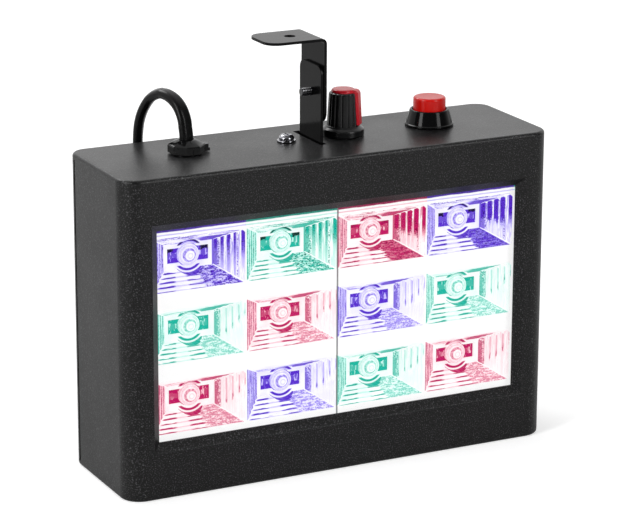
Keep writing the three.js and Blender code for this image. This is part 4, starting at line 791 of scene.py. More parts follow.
def moulded(name, colour, pale, roughness, scale, glint, depth, shine=0.5):
    """Moulded plastic with a grain, whose crests carry painted glints in a paler colour."""
    made, nodes, sockets = material(name, Specular_IOR_Level=shine)
    grain = use(nodes, "moulded_grain", Scale=scale, Glint=glint)
    # Painted glints: the crests of the grain are paler in the base colour
    nodes.feed(sockets["Base Color"], nodes.mix(grain["Glints"], (*colour, 1), (*pale, 1)))
    low, high = [share * roughness for share in PLASTIC_WANDER]
    nodes.feed(sockets["Roughness"], nodes.ramp(grain["Patches"], 0.3, 0.7, low, high))
    bump(nodes, sockets, grain["Height"], GRAIN_STRENGTH, depth)
    return made


def metal(name, colour, worn, roughness, scale, **settings):
    """Metal or painted metal with fine rubbed lines."""
    made, nodes, sockets = material(name, **settings)
    lines = use(nodes, "hairlines", Scale=scale)
    worn_share = nodes.ramp(lines["Blotches"], 0.45, 0.75)
    nodes.feed(sockets["Base Color"], nodes.mix(worn_share, (*colour, 1), (*worn, 1)))
    low, high = [share * roughness for share in METAL_WANDER]
    nodes.feed(sockets["Roughness"], nodes.ramp(lines["Lines"], 0.3, 0.7, low, high))
    bump(nodes, sockets, lines["Lines"], LINE_STRENGTH, LINE_DEPTH)
    return made


def tinted(nodes, cell, ink):
    """From white through a bright tint to the full colour of the lamp."""
    return nodes.mix(ink, WHITE, nodes.mix(ink, cell["Bright"], cell["Colour"]))


def by_lamp(nodes, cell, crimson, other):
    """One number on the crimson lamps and another on the rest."""
    return nodes.ramp(nodes.redness(cell["Colour"]), *CRIMSON_RED, crimson, other)


def lit(nodes, sockets, colour):
    """A surface that glows with its colour and shows only a share of it in other light."""
    nodes.feed(sockets["Emission Color"], colour)
    nodes.feed(sockets["Base Color"], nodes.mix(1 - REFLECTED, colour, BLACK))
    sockets["Emission Strength"].default_value = GLOW


class CupFields:
    """What the painted reflections of lamplight on the walls of a cup are drawn from."""

    def __init__(self, nodes):
        cell = use(nodes, "lamp_cells")
        place = nodes.place()
        self.cell = cell
        self.depth = cell["Depth"]
        self.top_row = cell["Top Row"]
        self.dense = cell["Right Half"]

        # Place in a cup: -1 and 1 are the walls, and 0 is its middle
        half_x = nodes.blend(self.depth, CELL_WIDTH / 2, FLOOR_WIDTH / 2)
        half_z = nodes.blend(self.depth, CELL_HEIGHT / 2, FLOOR_HEIGHT / 2)
        self.across = nodes.math("DIVIDE", cell["Across"], half_x)
        self.up = nodes.math("DIVIDE", cell["Up"], half_z)

        # Upright and level streaks, a slanting hatch, specks and a slow drift
        slant = (0, math.radians(HATCH_TURN), 0)
        self.upright = nodes.noise(place, STREAK_SCALE, 3.0, 0.65, (1, 1, 0.1))
        self.level = nodes.noise(place, STREAK_SCALE, 3.0, 0.65, (0.1, 1, 1))
        self.hatch = nodes.noise(place, HATCH_SCALE, 3.0, 0.65, (0.35, 1, 1.6), slant)
        self.specks = nodes.noise(place, SPECK_SCALE, 2.0, 0.6)
        self.drift = nodes.noise(place, DRIFT_SCALE, 2.0, 0.5)

        # Place within a flute: 0 on its crest and 1 in the valley beside it
        phase = nodes.math("FRACT", nodes.times(self.depth, float(FLUTES)))
        self.valley = nodes.times(nodes.size(nodes.less(phase, 0.5)), 2.0)


def right_wall(nodes, cup):
    """Banded and dark in the top row; white with thin lines in the valleys below it."""
    depth, up, valley, specks = cup.depth, cup.up, cup.valley, cup.specks
    upright, dense = cup.upright, cup.dense

    # Top row: a band on each flute, fading downward, with fine streaks between
    width = nodes.blend(dense, nodes.ramp(depth, 0.36, 0.44, 0.34, 0.5), 0.74)
    broad = nodes.less(width, nodes.shifted(nodes.shifted(valley, upright, 0.6), specks, 0.35))
    broad = nodes.times(nodes.ramp(broad, -0.05, 0.05), nodes.ramp(depth, 0.18, 0.2))
    first = nodes.ramp(nodes.shifted(depth, upright, 0.03), 0.1, 0.09)
    first = nodes.times(first, nodes.line(up, -0.7, 0.2, 0.1, 1.0))
    ragged = nodes.shifted(nodes.shifted(up, upright, 1.1), specks, 0.6)
    tone = nodes.line(ragged, -0.9, 0.5, 0.45, 1.0)
    tone = nodes.blend(dense, tone, nodes.ramp(ragged, -0.5, -0.05, 0.15, 1.0))
    bands = nodes.times(nodes.most(broad, first), tone)
    fine = nodes.times(nodes.ramp(upright, 0.45, 0.55), nodes.line(up, -0.9, 0.6, 0.3, 0.7))
    dots = nodes.times(nodes.hump(depth, 0.235, 0.02), nodes.ramp(specks, 0.5, 0.56))
    inner = nodes.ramp(nodes.shifted(depth, specks, 0.3), 0.76, 0.86)
    mottled = nodes.times(inner, nodes.ramp(nodes.shifted(specks, up, -0.25), 0.3, 0.46), 0.85)
    strong = nodes.most(bands, fine, dots, mottled)
    strong = nodes.times(strong, nodes.ramp(up, -0.99, -0.93))

    # Other rows: lines from the lower edge up to a slanting limit, darker at their tips
    thin = nodes.times(nodes.ramp(nodes.shifted(valley, upright, 0.5), 0.68, 0.84), 0.85)
    falling = nodes.shifted(nodes.shifted(up, upright, 0.9), specks, 0.35)
    reach = nodes.ramp(nodes.less(falling, nodes.blend(depth, 0.42, -1.03)), -0.12, 0.12)
    tips = nodes.ramp(nodes.less(falling, nodes.blend(depth, 0.7, -0.75)), 0.1, -0.1)
    tips = nodes.times(thin, reach, tips)
    weak = nodes.times(thin, reach, 0.6)
    weak = nodes.most(weak, tips, mottled, nodes.times(fine, 0.35), 0.05)

    scallop = nodes.math("ADD", up, nodes.times(nodes.times(valley, valley), 0.16))
    wall = nodes.blend(cup.top_row, weak, strong)
    return nodes.times(wall, nodes.ramp(scallop, 0.99, 0.95))


def bottom_wall(nodes, cup):
    """Thin level dashes on the left, a mottled hatch on the right."""
    across, hatch, top_row = cup.across, cup.hatch, cup.top_row
    row_line = nodes.ramp(nodes.shifted(cup.valley, cup.level, 1.0), 0.6, 0.76)
    dashes = nodes.most(nodes.hump(across, -0.72, 0.3), nodes.hump(across, 0.0, 0.28), 0.4)
    speckled = nodes.ramp(nodes.shifted(hatch, cup.specks, 0.6), 0.4, 0.54)
    palest = nodes.most(nodes.times(top_row, nodes.blend(cup.dense, 0.35, 0.8)), 0.16)
    speckled = nodes.blend(speckled, palest, nodes.blend(top_row, 0.75, 1.0))
    hatched = nodes.ramp(nodes.shifted(across, hatch, 0.4), 0.14, 0.22)
    return nodes.blend(hatched, nodes.times(row_line, dashes), speckled)


def left_wall(nodes, cup):
    """Upright strokes of all tones."""
    strokes = nodes.shifted(nodes.shifted(cup.valley, cup.upright, 3.0), cup.specks, 1.4)
    return nodes.blend(nodes.ramp(strokes, 0.2, 0.7), 0.38, 0.9)


def top_wall(nodes, cup):
    """Level streaks and a patch at the right."""
    depth, level = cup.depth, cup.level
    streaks = nodes.ramp(nodes.shifted(level, cup.specks, 0.25), 0.48, 0.54)
    strong = nodes.times(streaks, nodes.ramp(cup.drift, 0.35, 0.6, 0.35, 0.9))
    weak = nodes.times(nodes.blend(streaks, 0.15, 0.75), nodes.ramp(depth, 0.3, 0.6))
    patch = nodes.ramp(nodes.shifted(depth, level, 0.9), 0.24, 0.36)
    patch = nodes.times(patch, nodes.hump(cup.across, 0.72, 0.8), 0.95)
    return nodes.most(nodes.blend(cup.top_row, weak, strong), patch)


def painted_reflector_glow():
    """Metallised moulding that glows with painted reflections of the coloured lamp, drawn in its
    own way on each wall of a cup.
    """
    made, nodes, sockets = material("reflector_painted_lamplight", Roughness=0.3, Specular_IOR_Level=0.15)
    cup = CupFields(nodes)
    cell, depth, top_row = cup.cell, cup.depth, cup.top_row

    # The four walls, apart where they meet and at the mouth and the floor
    far_across, far_up = nodes.size(cup.across), nodes.size(cup.up)
    sides = nodes.blend(nodes.over(cup.across, 0.0), left_wall(nodes, cup), right_wall(nodes, cup))
    ends = nodes.blend(nodes.over(cup.up, 0.0), bottom_wall(nodes, cup), top_wall(nodes, cup))
    ink = nodes.blend(nodes.over(far_across, far_up), ends, sides)
    ink = nodes.times(ink, nodes.ramp(nodes.size(nodes.less(far_across, far_up)), 0.015, 0.045))
    ink = nodes.times(ink, nodes.ramp(depth, 0.005, 0.015), nodes.ramp(depth, 0.985, 0.975))

    # Scoops above and below the bead, and the land along the top of the window
    radius = cell["Radius"]
    inside = nodes.times(nodes.ramp(radius, *POCKET_EDGE), nodes.ramp(depth, 0.99, 0.98))
    above = nodes.ramp(cell["Up"], *SCOOP_LEVEL)
    below = nodes.ramp(cell["Up"], *[-level for level in SCOOP_LEVEL])
    crescents = nodes.times(nodes.hump(radius, *SCOOP_RING), nodes.most(above, below))
    outline = nodes.times(nodes.hump(radius, *HOLE_RING), 0.7, above)
    height = nodes.shifted(cell["Height"], cup.level, LAND_WAVER)
    rim = nodes.times(nodes.ramp(height, *LAND_RIM), 0.95)
    under = nodes.times(nodes.hump(height, *LAND_LINE), 0.45)
    land = nodes.times(nodes.most(rim, under), nodes.ramp(depth, 0.02, 0.0))

    # The back, seen through the slots, and the margin of the floor beyond them
    behind = nodes.ramp(depth, 1.004, 1.01)
    beyond = nodes.times(nodes.ramp(cell["Across"], *SLOT_MARGIN), nodes.ramp(depth, 0.97, 0.98))
    beyond = nodes.times(beyond, top_row, 0.9)
    ink = nodes.times(ink, nodes.less(1.0, inside))
    ink = nodes.most(ink, inside, crescents, outline, land, behind, beyond)

    # Dark specks in the inked places, painted shade round the upper scoops as dusk, a dark rim, and
    # painted shade in the seam between the halves
    tint = nodes.times(nodes.ramp(cup.drift, 0.4, 0.7), nodes.ramp(depth, 0.0, 0.1), 0.14)
    colour = tinted(nodes, cell, nodes.most(ink, tint))
    shade = nodes.times(nodes.ramp(cup.specks, 0.58, 0.64), nodes.ramp(ink, 0.6, 0.9))
    shade = nodes.times(shade, nodes.blend(top_row, 0.35, 0.75), nodes.ramp(depth, 1.0, 0.98))
    # Painted shade round the upper scoops in the top row
    dusk = nodes.times(by_lamp(nodes, cell, 0.2, 0.85), above, top_row)
    dusk = nodes.times(nodes.hump(radius, *SCOOP_DUSK), dusk)
    shade = nodes.most(shade, dusk, nodes.times(rim, land, 0.5), nodes.times(cell["Seam"], 0.7))
    lit(nodes, sockets, nodes.mix(shade, colour, BLACK))
    return made


def painted_board_glow():
    """White solder mask that glows with painted lamplight in its lamp's colour, with painted shade
    at the slot's upper corners in the top row and in the gap between the halves.
    """
    made, nodes, sockets = material("lamp_board_painted_lamplight", Roughness=0.5, Specular_IOR_Level=0.15)
    cell = use(nodes, "lamp_cells")
    patches = nodes.noise(nodes.place(), BOARD_PATCH_SCALE, 2.0, 0.6)
    # Painted shade at the slot's upper corners in the top row and in the gap between the halves
    high = nodes.ramp(nodes.shifted(cell["Up"], patches, BOARD_WAVER), *BOARD_DARK_UP)
    outer = nodes.ramp(nodes.size(cell["Across"]), *BOARD_DARK_OUT)
    corners = nodes.times(high, outer, by_lamp(nodes, cell, 0.25, 0.92))
    dark = nodes.most(nodes.times(cell["Top Row"], corners), cell["Seam"])
    ticks = nodes.noise(nodes.place(), BOARD_TICK_SCALE, 2.0, 0.6, (1, 1, 0.3))
    colour = tinted(nodes, cell, nodes.ramp(ticks, 0.62, 0.7, 1.0, 0.6))
    lit(nodes, sockets, nodes.mix(dark, colour, BLACK))
    return made


def bead_finish(name, core):
    """The clear plastic of a lamp bead, lit from inside: rings of tone, pale toward the middle."""
    made, nodes, sockets = material(name, Roughness=0.2, Coat_Weight=0.3)
    cell = use(nodes, "lamp_cells")
    radius = cell["Radius"]
    cloud = nodes.noise(nodes.place(), BEAD_CLOUD_SCALE, 2.0)
    soft = nodes.ramp(cloud, 0.35, 0.65, 0.6, 1.0)
    rings = [nodes.times(nodes.hump(radius, *ring), ink) for *ring, ink in BEAD_RINGS]
    ink = nodes.most(nodes.times(nodes.most(*rings), soft), core)
    lit(nodes, sockets, tinted(nodes, cell, ink))
    return made


def painted_lead_glow():
    """Tinned lead frame that glows with painted lamplight in the colour of its lamp, with pale
    ticks.
    """
    made, nodes, sockets = material("lit_bead_leads", Roughness=0.3, Specular_IOR_Level=0.2)
    cell = use(nodes, "lamp_cells")
    ticks = nodes.noise(nodes.place(), LEAD_TICK_SCALE, 2.0, 0.6, (1, 1, 0.25))
    lit(nodes, sockets, tinted(nodes, cell, nodes.ramp(ticks, 0.52, 0.66, 0.95, 0.4)))
    return made


def clear_finish():
    """The clear pane, nearly all see-through, with faint smears."""
    made, nodes, sockets = material("clear_pane", Alpha=0.03)
    smears = nodes.noise(nodes.place(), SMEAR_SCALE, 3.0, 0.6)
    nodes.feed(sockets["Roughness"], nodes.ramp(smears, 0.4, 0.8, 0.02, 0.1))
    smeared = nodes.mix(smears, (0.01, 0.01, 0.011, 1), (0.03, 0.03, 0.033, 1))
    nodes.feed(sockets["Base Color"], smeared)
    return made


def grey(level):
    """A grey with a trace of blue."""
    return (level, level, level * 1.04)


# Plastics: colour, colour of the painted glints, roughness, scale of the grain, glint, depth and
# shine
HOUSING = moulded("satin_black_plastic", grey(0.002), grey(0.08), 0.34, 1450.0, 0.85, 0.00008, 0.23)
KNOB_BLACK = moulded("soft_black_plastic", grey(0.005), grey(0.02), 0.24, 2200.0, 0.3, 0.00001, 0.3)
GLOSS_BLACK = moulded(
    "gloss_black_plastic", grey(0.003), grey(0.01), 0.1, 900.0, 0.2, 0.000005, 0.12)
BUSHING_BLACK = moulded("bushing_black", grey(0.003), grey(0.01), 0.12, 900.0, 0.2, 0.000002, 0.15)
CORD_BLACK = moulded("cord_black", grey(0.003), grey(0.01), 0.24, 1500.0, 0.3, 0.00001, 0.13)
RED = moulded(
    "control_red", (0.5, 0.003, 0.001), (0.6, 0.02, 0.01), 0.24, 1800.0, 0.2, 0.000008, 0.25)
CAP_RED = moulded(
    "cap_red", (0.48, 0.006, 0.016), (0.6, 0.04, 0.05), 0.22, 1800.0, 0.2, 0.000008, 0.27)
GREEN_BOARD = moulded(
    "green_board", (0.012, 0.09, 0.035), (0.03, 0.16, 0.07), 0.4, 600.0, 0.4, 0.00001)
YELLOW = moulded("transformer_yellow", (0.6, 0.38, 0.05), (0.7, 0.5, 0.1), 0.5, 400.0, 0.4, 0.00002)
BLUE = moulded("capacitor_blue", (0.02, 0.06, 0.2), (0.05, 0.1, 0.3), 0.3, 500.0, 0.3, 0.00001)
TERMINAL = moulded("terminal_green", (0.04, 0.2, 0.08), (0.08, 0.3, 0.12), 0.4, 700.0, 0.4, 0.00001)
LEAD_RED = moulded("lead_red", (0.4, 0.03, 0.02), (0.5, 0.1, 0.08), 0.45, 900.0, 0.3, 0.00001)
LEAD_BLUE = moulded("lead_blue", (0.04, 0.1, 0.35), (0.1, 0.2, 0.45), 0.45, 900.0, 0.3, 0.00001)
LEAD_WHITE = moulded("lead_white", (0.7, 0.7, 0.67), (0.8, 0.8, 0.78), 0.45, 900.0, 0.3, 0.00001)

# Metals and paint on metal: colour, colour of the worn patches, roughness and scale of the lines
BRACKET_BLACK = metal(
    "bracket_black", grey(0.002), grey(0.004), 0.14, 260.0, Specular_IOR_Level=0.07)
DARK_SCREW = metal("blackened_screw", grey(0.02), grey(0.3), 0.2, 900.0, Metallic=1.0)
CHROME = metal("chrome", (0.72, 0.73, 0.75), (0.6, 0.61, 0.64), 0.16, 500.0, Metallic=1.0)
DARK_CHROME = metal("dark_chrome", (0.3, 0.3, 0.32), (0.2, 0.2, 0.22), 0.14, 500.0, Metallic=1.0)
STEEL = metal("steel", (0.42, 0.42, 0.44), (0.3, 0.3, 0.31), 0.32, 500.0, Metallic=1.0)

CLEAR = clear_finish()
# The reflector, the lamp board and the bead leads are no lamps, yet glow with painted lamplight;
# the beads are the lamps
MIRROR = painted_reflector_glow()
LAMP_BOARD = painted_board_glow()
BEAD_BODY_CLEAR = bead_finish("lit_bead_body", 0.08)
BEAD_LENS_CLEAR = bead_finish("lit_bead_lens", 0.04)
BEAD_LEADS = painted_lead_glow()

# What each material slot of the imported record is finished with
SLOT_FINISHES = {
    "housing_black": HOUSING,
    "clear_pane": CLEAR,
    "reflector_mirror": MIRROR,
    "white_board": LAMP_BOARD,
    "green_board": GREEN_BOARD,
    "steel": STEEL,
    "chrome": CHROME,
    "bracket_black": BRACKET_BLACK,
    "knob_black": KNOB_BLACK,
    "gloss_black": GLOSS_BLACK,
    "control_red": RED,
    "cord_black": CORD_BLACK,
    "bead_purple": BEAD_BODY_CLEAR,
    "bead_teal": BEAD_BODY_CLEAR,
    "bead_crimson": BEAD_BODY_CLEAR,
    "transformer_yellow": YELLOW,
    "capacitor_blue": BLUE,
    "terminal_green": TERMINAL,
    "lead_red": LEAD_RED,
    "lead_blue": LEAD_BLUE,
    "lead_white": LEAD_WHITE,
}


def finish_nodes():
    """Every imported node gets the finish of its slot, which its own material is named after."""
    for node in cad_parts.values():
        for place in node.material_slots:
            surface = SLOT_FINISHES.get(place.material.name.split(".")[0])
            if surface:
                place.material = surface


# Cord, its tie and its plug

def smooth_path(points, steps):
    """A smooth curve through points, closer where they are closer."""
    ends = [2 * points[0] - points[1], *points, 2 * points[-1] - points[-2]]
    path = []
    for p0, p1, p2, p3 in zip(ends, ends[1:], ends[2:], ends[3:]):
        d0, d1, d2 = (math.sqrt((b - a).length) for a, b in ((p0, p1), (p1, p2), (p2, p3)))
        out = ((p1 - p0) / d0 - (p2 - p0) / (d0 + d1) + (p2 - p1) / d1) * d1
        into = ((p2 - p1) / d1 - (p3 - p1) / (d1 + d2) + (p3 - p2) / d2) * d1
        for step in range(steps):
            t = step / steps
            bend = (2 * p1 - 2 * p2 + out + into) * t**3
            path.append(bend + (3 * p2 - 3 * p1 - 2 * out - into) * t**2 + out * t + p1)
    return [*path, points[-1]]


def coil_centre(start):
    return start + Vector((COIL_RADIUS, CORD_THICKNESS, 0))


def coil_path(start):
    """The coil winds in on the ground, climbs as it reverses and winds out on the upper layer."""
    path = []
    middle = COIL_TURNS / 2
    centre = coil_centre(start)
    for i in range(int(COIL_TURNS * TURN_STEPS) + 1):
        turn = i / TURN_STEPS
        angle = math.pi - 2 * math.pi * turn
        radius = COIL_RADIUS - COIL_PITCH * (middle - abs(turn - middle))
        climb = min(max((turn - middle + COIL_CLIMB / 2) / COIL_CLIMB, 0), 1)
        path.append(centre + Vector(on_circle(radius, angle, COIL_RISE * climb)))
    return path


def tail_path(start):
    """The tail runs straight on, turns a quarter toward the housing and dips on its way."""
    length = TAIL_STRAIGHT + TAIL_RADIUS * math.pi / 2
    path = []
    for i in range(1, TAIL_STEPS + 1):
        along = length * i / TAIL_STEPS
        angle = max(along - TAIL_STRAIGHT, 0) / TAIL_RADIUS
        x = min(along, TAIL_STRAIGHT) + TAIL_RADIUS * math.sin(angle)
        y = TAIL_RADIUS * (math.cos(angle) - 1)
        share = max(along - TAIL_DIP_START, 0) / (length - TAIL_DIP_START)
        path.append(start + Vector((x, y, -COIL_RISE * math.sin(math.pi * share) ** 2)))
    return path


def turned_by(degrees, axis="Z"):
    return Matrix.Rotation(math.radians(degrees), 4, axis)


def cord_frame():
    """Where the upright plane of the cord stands."""
    return Matrix.Translation((BUSHING_X, BUSHING_Y, 0)) @ turned_by(CORD_TURN)


def build_cord():
    """The flat twin lead, with its tie and its plug."""
    start = Vector((0, 0, CORD_START_Z))
    path = smooth_path([start, *[Vector((0, y, z)) for y, z in CORD_POINTS]], SPAN_STEPS)
    hanging = len(path)
    ground = path[-1] + Vector((0, COIL_GAP, 0))
    path += coil_path(ground)
    path += tail_path(path[-1])
    section = flat_section()
    turn = cord_frame()
    top = max(z for _, z in CORD_POINTS)
    rings = []
    for i, point in enumerate(path):
        along = (path[min(i + 1, len(path) - 1)] - path[max(i - 1, 0)]).normalized()
        width = Vector((1, 0, 0)) if i < hanging else along.cross(Vector((0, 0, 1))).normalized()
        if i < hanging and point.y > TWIST_FROM:
            share = math.sin(math.pi * min(max((top - point.z) / top, 0), 1)) ** TWIST_SHAPE
            width = Quaternion(along, math.radians(TWIST) * share) @ width
        rise = width.cross(along)
        rings.append([turn @ (point + width * u + rise * v) for u, v in section])
    cord = loft("flat_mains_cord", rings)
    finish(cord, "housing", CORD_BLACK, ("power_cord", "cord_coil"))
    route = [turn @ point for point in path]
    tie = build_tie(turn @ Matrix.Translation(coil_centre(ground)))
    end = Matrix.Translation(path[-1] + Vector((0, -COIL_GAP, 0)))
    plug = build_plug(turn @ end @ turned_by(-90))
    tuple(route[0])
    [tuple(point) for point in route]


def build_tie(centre):
    """A strap round the turns of the coil, its tongue folded over the top."""
    place = centre.copy()
    place.translation.z = 0
    outer = rounded(rectangle(TIE_INNER, TIE_OUTER, 0, TIE_TOP + TIE_THICKNESS, TIE_CORNER))
    tie = slab("coil_tie", outer, "y", -TIE_WIDTH / 2, TIE_WIDTH / 2)
    wall = TIE_THICKNESS
    inside = (TIE_INNER + wall, TIE_OUTER - wall, wall / 2, TIE_TOP, TIE_CORNER - wall)
    cut(tie, slab("hollow", rounded(rectangle(*inside)), "y", -TIE_WIDTH, TIE_WIDTH))
    start, length = TIE_TONGUE
    low, high = TIE_TOP + wall / 2, TIE_TOP + 2 * wall
    first = TIE_INNER + start
    half = TIE_WIDTH / 2 - wall
    join(tie, block("tongue", first, first + length, -half, half, low, high))
    soften(tie, wall / 5)
    tie.data.transform(place @ turned_by(TIE_ANGLE))
    return finish(tie, "housing", KNOB_BLACK)


def build_plug(place):
    """A moulded plug with grip ridges on its neck and two sleeved round pins."""
    rings = []
    for distance, half_width, half_height, corner in in_metres(PLUG_SECTIONS):
        corners = rectangle(-half_width, half_width, -half_height, half_height, corner)
        rings.append([(distance, u, v) for u, v in rounded(corners, steps=PLUG_STEPS)])
    body = loft("plug_moulding", rings)
    body.data.transform(place)
    finish(body, "housing", CORD_BLACK, ("plug_body",))
    made = [body]
    for number, side in ((1, -1), (2, 1)):
        centre = (0, side * PIN_HALF_SPACING, 0)
        sleeve = turned(f"pin_sleeve_{number}", along_x(PIN_SLEEVE), "x", centre, PIN_SIDES)
        pin = turned(f"pin_{number}", along_x(PIN), "x", centre, PIN_SIDES)
        for piece in (sleeve, pin):
            piece.data.transform(place)
        finish(sleeve, "housing", KNOB_BLACK)
        finish(pin, "housing", CHROME, (f"plug_pin_{number}",))
        made += [sleeve, pin]
    return made


def along_x(profile):
    """A pin's profile, from millimetres behind the plug's face."""
    return [(r, PIN_START + h, turn) for r, h, turn in in_metres(profile)]


# Screws

def screw(name, length, threaded=False):
    """A pan head screw with a cross recess: its seat at zero, the head up, the shank down."""
    made = turned(name, in_metres(HEAD), sides=FINE_SIDES)
    if threaded:
        join(made, thread(length))
    else:
        start, round_end = OVERRUN / 2, SCREW_RADIUS / 4
        shank = [(0, start, 0), (SCREW_RADIUS, start, 0)]
        shank += [(SCREW_RADIUS, -length, round_end), (0, -length, 0)]
        join(made, turned("shank", shank, sides=FINE_SIDES))
    levels = [(RECESS_END, HEAD_HEIGHT - RECESS_DEPTH)]
    levels += [(RECESS_TOP, HEAD_HEIGHT), (RECESS_TOP, HEAD_HEIGHT + OVERRUN)]
    wings = []
    for axis in ("x", "y"):
        rings = []
        for (reach, half), level in levels:
            u, v = (reach, half) if axis == "x" else (half, reach)
            rings.append([(x, y, level) for x, y in rounded(rectangle(-u, u, -v, v))])
        wings.append(loft("wing", rings))
    return cut(made, *wings)


def thread(length):
    """A rolled thread: the crest runs once round for each pitch."""
    rings = []
    count = int(length / THREAD_PITCH * THREAD_STEPS)
    for i in range(-1, count + 1):
        height = -max(i, 0) * length / count
        ring = []
        for j in range(THREAD_SIDES):
            share = (height / THREAD_PITCH + j / THREAD_SIDES) % 1
            radius = SCREW_RADIUS - THREAD_DEPTH * abs(2 * share - 1)
            if i < 0 or i == count:
                radius = SCREW_RADIUS - THREAD_DEPTH
            ring.append(on_circle(radius, 2 * math.pi * j / THREAD_SIDES, height))
        rings.append(ring)
    first = [(x, y, OVERRUN / 2) for x, y, _ in rings[0]]
    return loft("thread", [first, *rings])


def cover_screw_places():
    """The number and the middle of each screw of the rear cover."""
    for number in range(1, COVER_SCREWS + 1):
        low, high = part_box(f"rear_cover_screw_{number}")
        yield number, (low + high) / 2


def build_screws():
    """The four cover screws, the pivot screw and the foot screw with its washer."""
    for number, middle in cover_screw_places():
        made = screw(f"cover_screw_{number}", COVER_SCREW_LENGTH)
        seat = Matrix.Translation((middle.x, COVER_SCREW_SEAT_Y, middle.z))
        made.data.transform(seat @ turned_by(-90, "X"))
        finish(made, "housing", STEEL, (f"rear_cover_screw_{number}",))
    pivot = screw("pivot_machine_screw", PIVOT_LENGTH, threaded=True)
    seat = Matrix.Translation((PIVOT_SEAT_X, CONTROL_Y, PIVOT_Z))
    pivot.data.transform(seat @ turned_by(90, "Y"))
    finish(pivot, "housing", DARK_SCREW, ("pivot_screw",))
    foot = screw("foot_pan_screw", FOOT_LENGTH)
    foot.data.transform(Matrix.Translation((FOOT_X, CONTROL_Y, FOOT_SEAT_Z)))
    finish(foot, "housing", DARK_CHROME, ("foot_screw",))
    washer = turned(
        "foot_round_washer", in_metres(FOOT_WASHER), centre=(FOOT_X, CONTROL_Y, TOP_Z),
        sides=BEAD_SIDES, endless=True)
    finish(washer, "housing", DARK_CHROME, ("foot_washer",))


# Housing

def bevel_rings(x, low, high, lead):
    """Rings of the window's funnel, with a small round where it meets the front face."""
    slope = math.atan2(BEVEL_DEPTH, BEVEL_INSET)
    reach = RIM_ROUND * math.tan(slope / 2)
    levels = [(-reach - lead, -lead), (-reach, 0)]
    for i in range(1, RIM_STEPS + 1):
        angle = slope * i / RIM_STEPS
        levels.append((-reach + RIM_ROUND * math.sin(angle), RIM_ROUND * (1 - math.cos(angle))))
    levels.append((BEVEL_INSET, BEVEL_DEPTH))
    levels.append((BEVEL_INSET, FRONT_WALL + OVERRUN))
    rings = []
    for inset, depth in levels:
        ring = rounded(rectangle(-x + inset, x - inset, low + inset, high - inset))
        rings.append([(u, FRONT_Y + depth, v) for u, v in ring])
    return rings


def build_front_housing():
    """The box with rounded edges, open at the back, with the window's funnel and the slot."""
    ends = []
    for i in range(ARC_STEPS + 1):
        angle = math.pi / 2 * i / ARC_STEPS
        ends.append((EDGE_ROUND * (1 - math.sin(angle)), EDGE_ROUND * (1 - math.cos(angle))))
    levels = ends + [(inset, TOP_Z - z) for inset, z in reversed(ends)]
    rings = [[(x, y, z) for x, y in housing_outline(inset)] for inset, z in levels]
    shell = loft("front_housing", rings)
    hollow_x = SIDE_X - WALL
    hollow_y = FRONT_Y + FRONT_WALL
    hollow = block("hollow", -hollow_x, hollow_x, hollow_y, BACK_Y + OVERRUN, WALL, TOP_Z - WALL)
    beyond = SIDE_X + OVERRUN
    opening = block("opening", -beyond, beyond, COVER_Y, BACK_Y + OVERRUN, WALL, TOP_Z - WALL)
    funnel = loft("funnel", bevel_rings(BEVEL_X, BEVEL_LOW, BEVEL_HIGH, OVERRUN))
    slot = block("slot", *SLOT_X, *SLOT_Y, TOP_Z - WALL - OVERRUN, TOP_Z + OVERRUN)
    cut(shell, hollow, opening, funnel, slot)
    finish(shell, "housing", HOUSING, ("front_shell",))


def build_rear_cover():
    """A shallow tray behind a groove, with wells for its screws."""
    low, high = WALL + COVER_GAP, TOP_Z - WALL - COVER_GAP
    cover = slab("rear_cover_tray", housing_outline(), "z", low, high)
    beyond = SIDE_X + OVERRUN
    front = block("front", -beyond, beyond, FRONT_Y - OVERRUN, COVER_Y + COVER_GAP, 0, TOP_Z)
    inner, inner_y = SIDE_X - WALL, BACK_Y - WALL
    corner = REAR_CORNER - WALL
    corners = [(-inner, 0, 0), (inner, 0, 0), (inner, inner_y, corner), (-inner, inner_y, corner)]
    hollow = slab("hollow", rounded(corners), "z", 0, TOP_Z)
    tools = [front, hollow]
    for side in (-1, 1):
        edges = sorted((side * (SIDE_X - SEAM_DEPTH), side * beyond))
        tools.append(block("seam", *edges, 0, COVER_Y + SEAM_WIDTH, 0, TOP_Z))
    cut(cover, *tools)
    pads = []
    wells = []
    for _, middle in cover_screw_places():
        centre = (middle.x, BACK_Y, middle.z)
        radius = SCREW_RADIUS + COVER_GAP
        pads.append(rod("pad", WELL_RADIUS + PLATE, -WELL_DEPTH - WALL, -WALL / 2, "y", centre))
        wells.append(rod("well", WELL_RADIUS, -WELL_DEPTH, OVERRUN, "y", centre))
        wells.append(rod("screw_hole", radius, -2 * WELL_DEPTH, OVERRUN, "y", centre))
    join(cover, *pads)
    cut(cover, *wells)
    soften(cover, COVER_EDGE)
    finish(cover, "housing", HOUSING, ("rear_cover",))


# Reflectors and lamps

def cell_ring(x, y, z, half_x, half_z):
    """An upright rectangle about a cell's middle."""
    outline = rounded(rectangle(x - half_x, x + half_x, z - half_z, z + half_z))
    return [(u, y, v) for u, v in outline]


def cup(x, z):
    """The fluted inside of one cup, from its mouth to its floor."""
    rings = []
    steps = FLUTES * FLUTE_STEPS
    for i in range(-1, steps + 1):
        share = i / steps
        rise = FLUTE_RISE * abs(math.sin(math.pi * share * FLUTES)) if i > 0 else 0
        half_x = (CELL_WIDTH + (FLOOR_WIDTH - CELL_WIDTH) * share) / 2 - rise
        half_z = (CELL_HEIGHT + (FLOOR_HEIGHT - CELL_HEIGHT) * share) / 2 - rise
        rings.append(cell_ring(x, MOUTH_Y + (FLOOR_Y - MOUTH_Y) * share, z, half_x, half_z))
    return loft("cup", rings)


